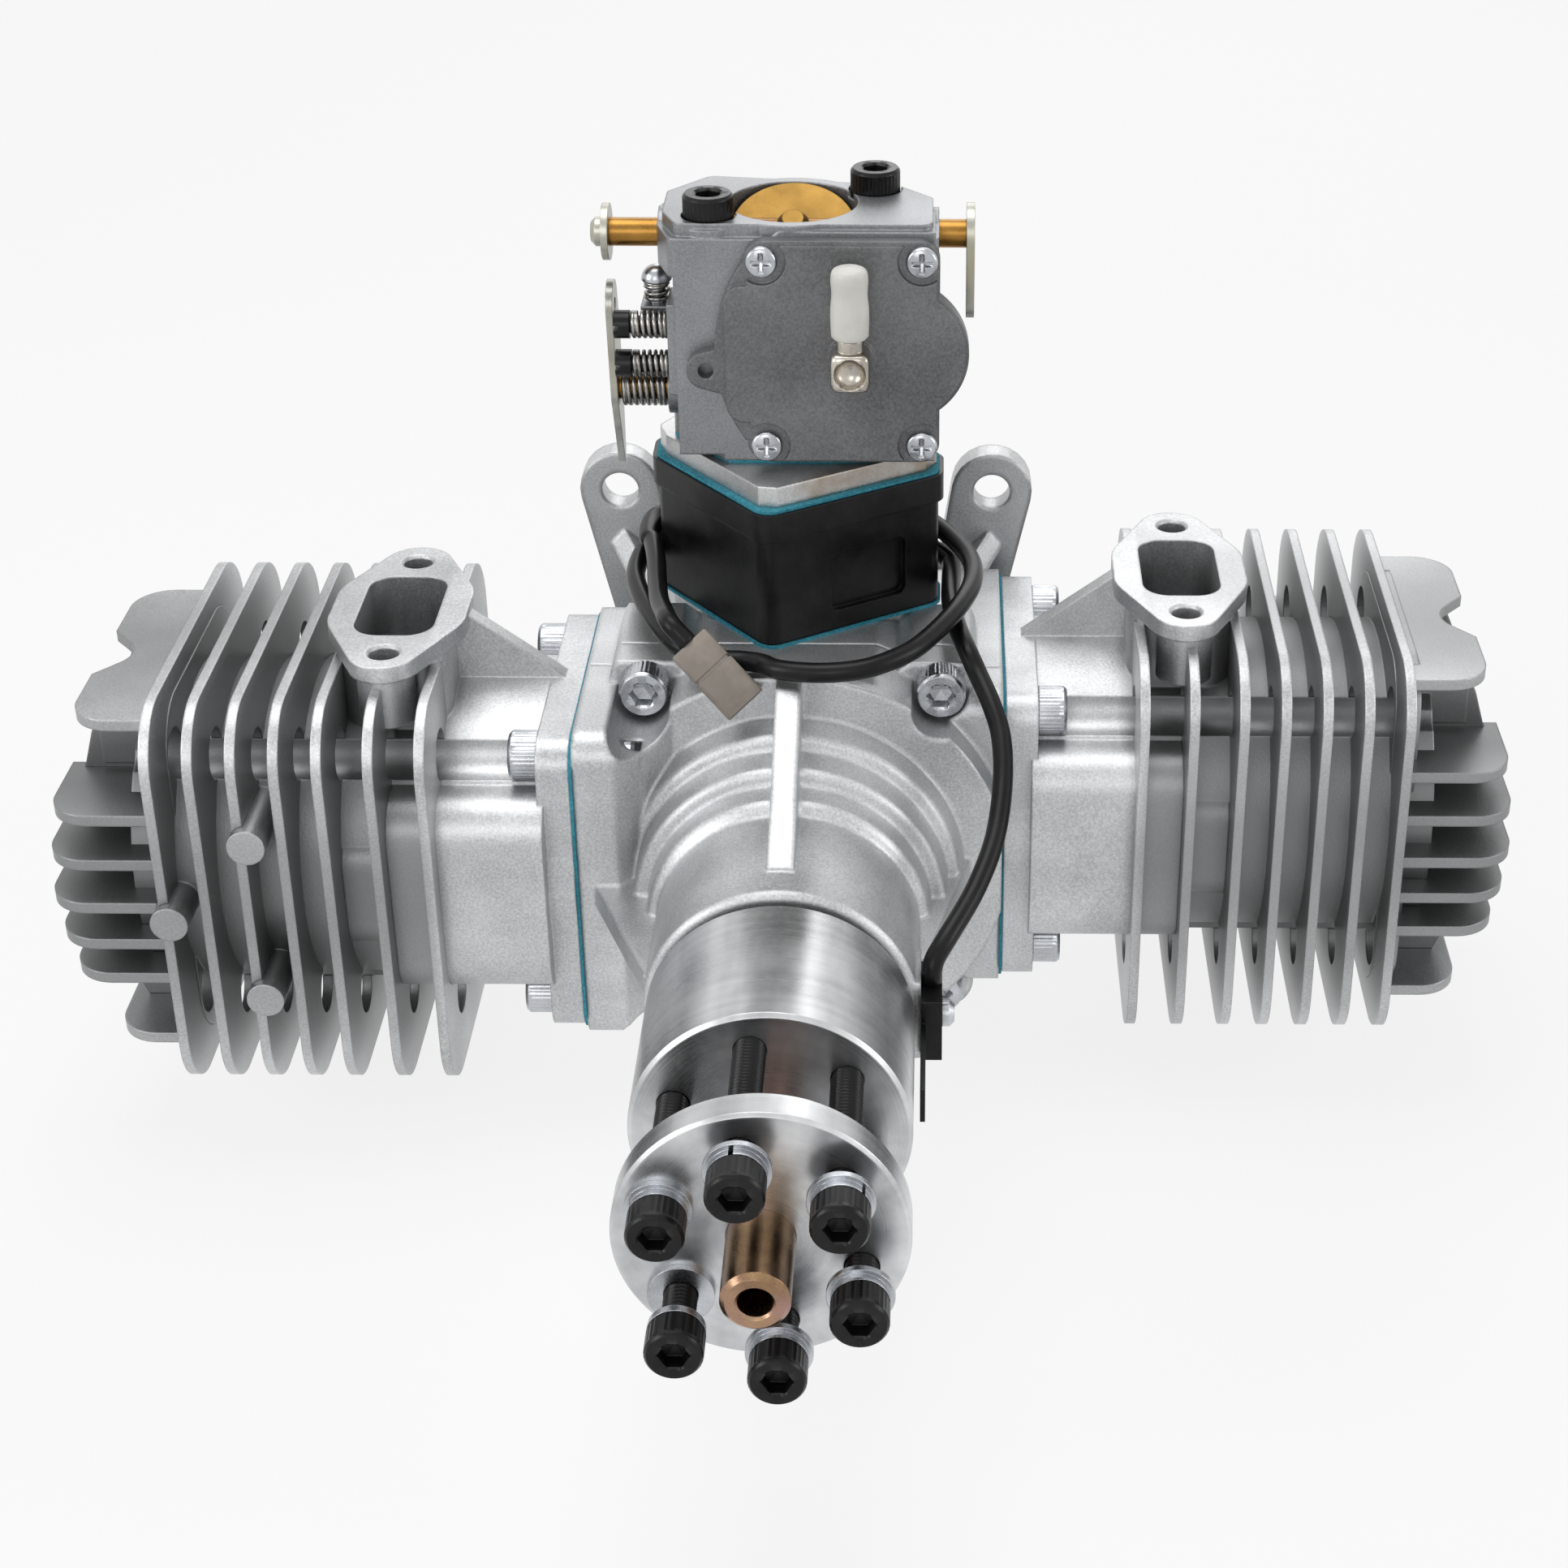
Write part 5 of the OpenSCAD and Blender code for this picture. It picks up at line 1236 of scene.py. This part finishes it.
@dataclass
class Engine:
    """The whole engine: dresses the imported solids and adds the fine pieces."""

    shop: PaintShop
    record: dict

    def dress_solids(self) -> None:
        """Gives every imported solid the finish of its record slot."""
        for part in self.record["subparts"]:
            node = part["node"]
            self.shop.dress(bpy.data.objects[node], SPECIAL.get(node, part["material_slot"]))

    def build_screws(self) -> None:
        """Socket head screws of the case, cylinders, carburettor and propeller clamp."""
        # seats as in the part's source, counted from the middle planes
        pairs = [(x, z) for x in (-1, 1) for z in (-1, 1)]
        case = [((x * 25.3 * MM, MIDDLE_Y - 15 * MM, z * 30.3 * MM), Along.Y, -1.0) for x, z in pairs]
        SocketScrews("case_screws", "case_bolts", "case", "steel", case, length=18 * MM).build(self.shop)
        base = [((s * 42.1 * MM, MIDDLE_Y + s * 8.5 * MM + y * 20.2 * MM, z * 23.5 * MM), Along.X, float(s))
                for s in (-1, 1) for y, z in pairs]
        SocketScrews("cylinder_base_screws", "base_bolts", "case", "steel", base,
                     length=16 * MM).build(self.shop)
        carb = [((s * 13.7 * MM, INTAKE_Y + s * 7.25 * MM, 104.3 * MM), Along.Z, 1.0) for s in (-1, 1)]
        SocketScrews("carburettor_screws", "carb_bolts", "case", "black_steel", carb,
                     length=45.3 * MM).build(self.shop)
        # how far each propeller screw stands out, in millimetres, and where the first one is
        lifts, circle, first = (5.9, 5.9, 2.2, 9.2, 8.6, 7.8), 15.2 * MM, 40
        prop = []
        for i, lift in enumerate(lifts):
            angle = math.radians(i * 60 + first)
            seat = (circle * math.cos(angle), MIDDLE_Y - (126.9 + lift) * MM, circle * math.sin(angle))
            prop.append((seat, Along.Y, -1.0))
        SocketScrews("propeller_screws", "prop_bolts", "rotor", "black_steel", prop, length=45 * MM,
                     threaded=True, columns=64).build(self.shop)

    def build_cover_screws(self) -> None:
        """Cross recess screws of the two carburettor covers."""
        front = [((x * MM, INTAKE_Y - 15.7 * MM, (84.35 + z) * MM), Along.Y, -1.0, 4.0 * MM)
                 for x, z in ((-4.6, 16.2), (21.8, 16.2), (-4.4, -16.2), (21.8, -16.2))]
        rear = [((x * 13 * MM, INTAKE_Y + 17 * MM, (82.2 + z * 10) * MM), Along.Y, 1.0, 4.0 * MM)
                for x in (-1, 1) for z in (-1, 1)]
        PanScrews("carburettor_cover_screws", "cover_screws", "case", front + rear).build(self.shop)

    def build_springs(self) -> None:
        """Springs of the throttle, idle screw and mixture needles."""
        throttle = CoilSpring((0, INTAKE_Y, 72.5 * MM), Along.X, start=-30.4 * MM, end=-22.2 * MM,
                              radius=3.2 * MM, wire=0.42 * MM, turns=8)
        idle = CoilSpring((-23.4 * MM, INTAKE_Y - 1.2 * MM, 0), Along.Z, start=88.7 * MM, end=92.1 * MM,
                          radius=1.95 * MM, wire=0.32 * MM, turns=4)
        needles = [CoilSpring((0, INTAKE_Y - 7 * MM, z * MM), Along.X, start=-27.5 * MM, end=-21 * MM,
                              radius=2.05 * MM, wire=0.36 * MM, turns=7) for z in (86.2, 79.2)]
        SpringSet("throttle_return_spring", "throttle_spring", [throttle]).build(self.shop)
        SpringSet("idle_screw_spring", "idle_spring", [idle]).build(self.shop)
        SpringSet("needle_screw_springs", "needle_springs", needles).build(self.shop)

    def build(self) -> None:
        """Builds every sub-assembly in order."""
        PickUpCable().build(self.shop, LeadPlug().build(self.shop))
        FuelInlet().build(self.shop)
        IntakeGaskets().build(self.shop)
        self.dress_solids()
        self.build_screws()
        self.build_cover_screws()
        self.build_springs()


def clear_start_objects() -> None:
    """Removes the objects of Blender's start file."""
    for old in list(bpy.data.objects):
        bpy.data.objects.remove(old)


def main() -> None:
    """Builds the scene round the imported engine."""
    logging.basicConfig(level=logging.INFO)
    clear_start_objects()
    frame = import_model()
    solids_box = [list(c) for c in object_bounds()]
    studio = Studio()
    studio.build_camera()
    Engine(PaintShop(), frame["record"]).build()
    studio.build_floor(solids_box[0][2])
    studio.build_lamps()
    studio.build_world()


if __name__ == "__main__":
    main()
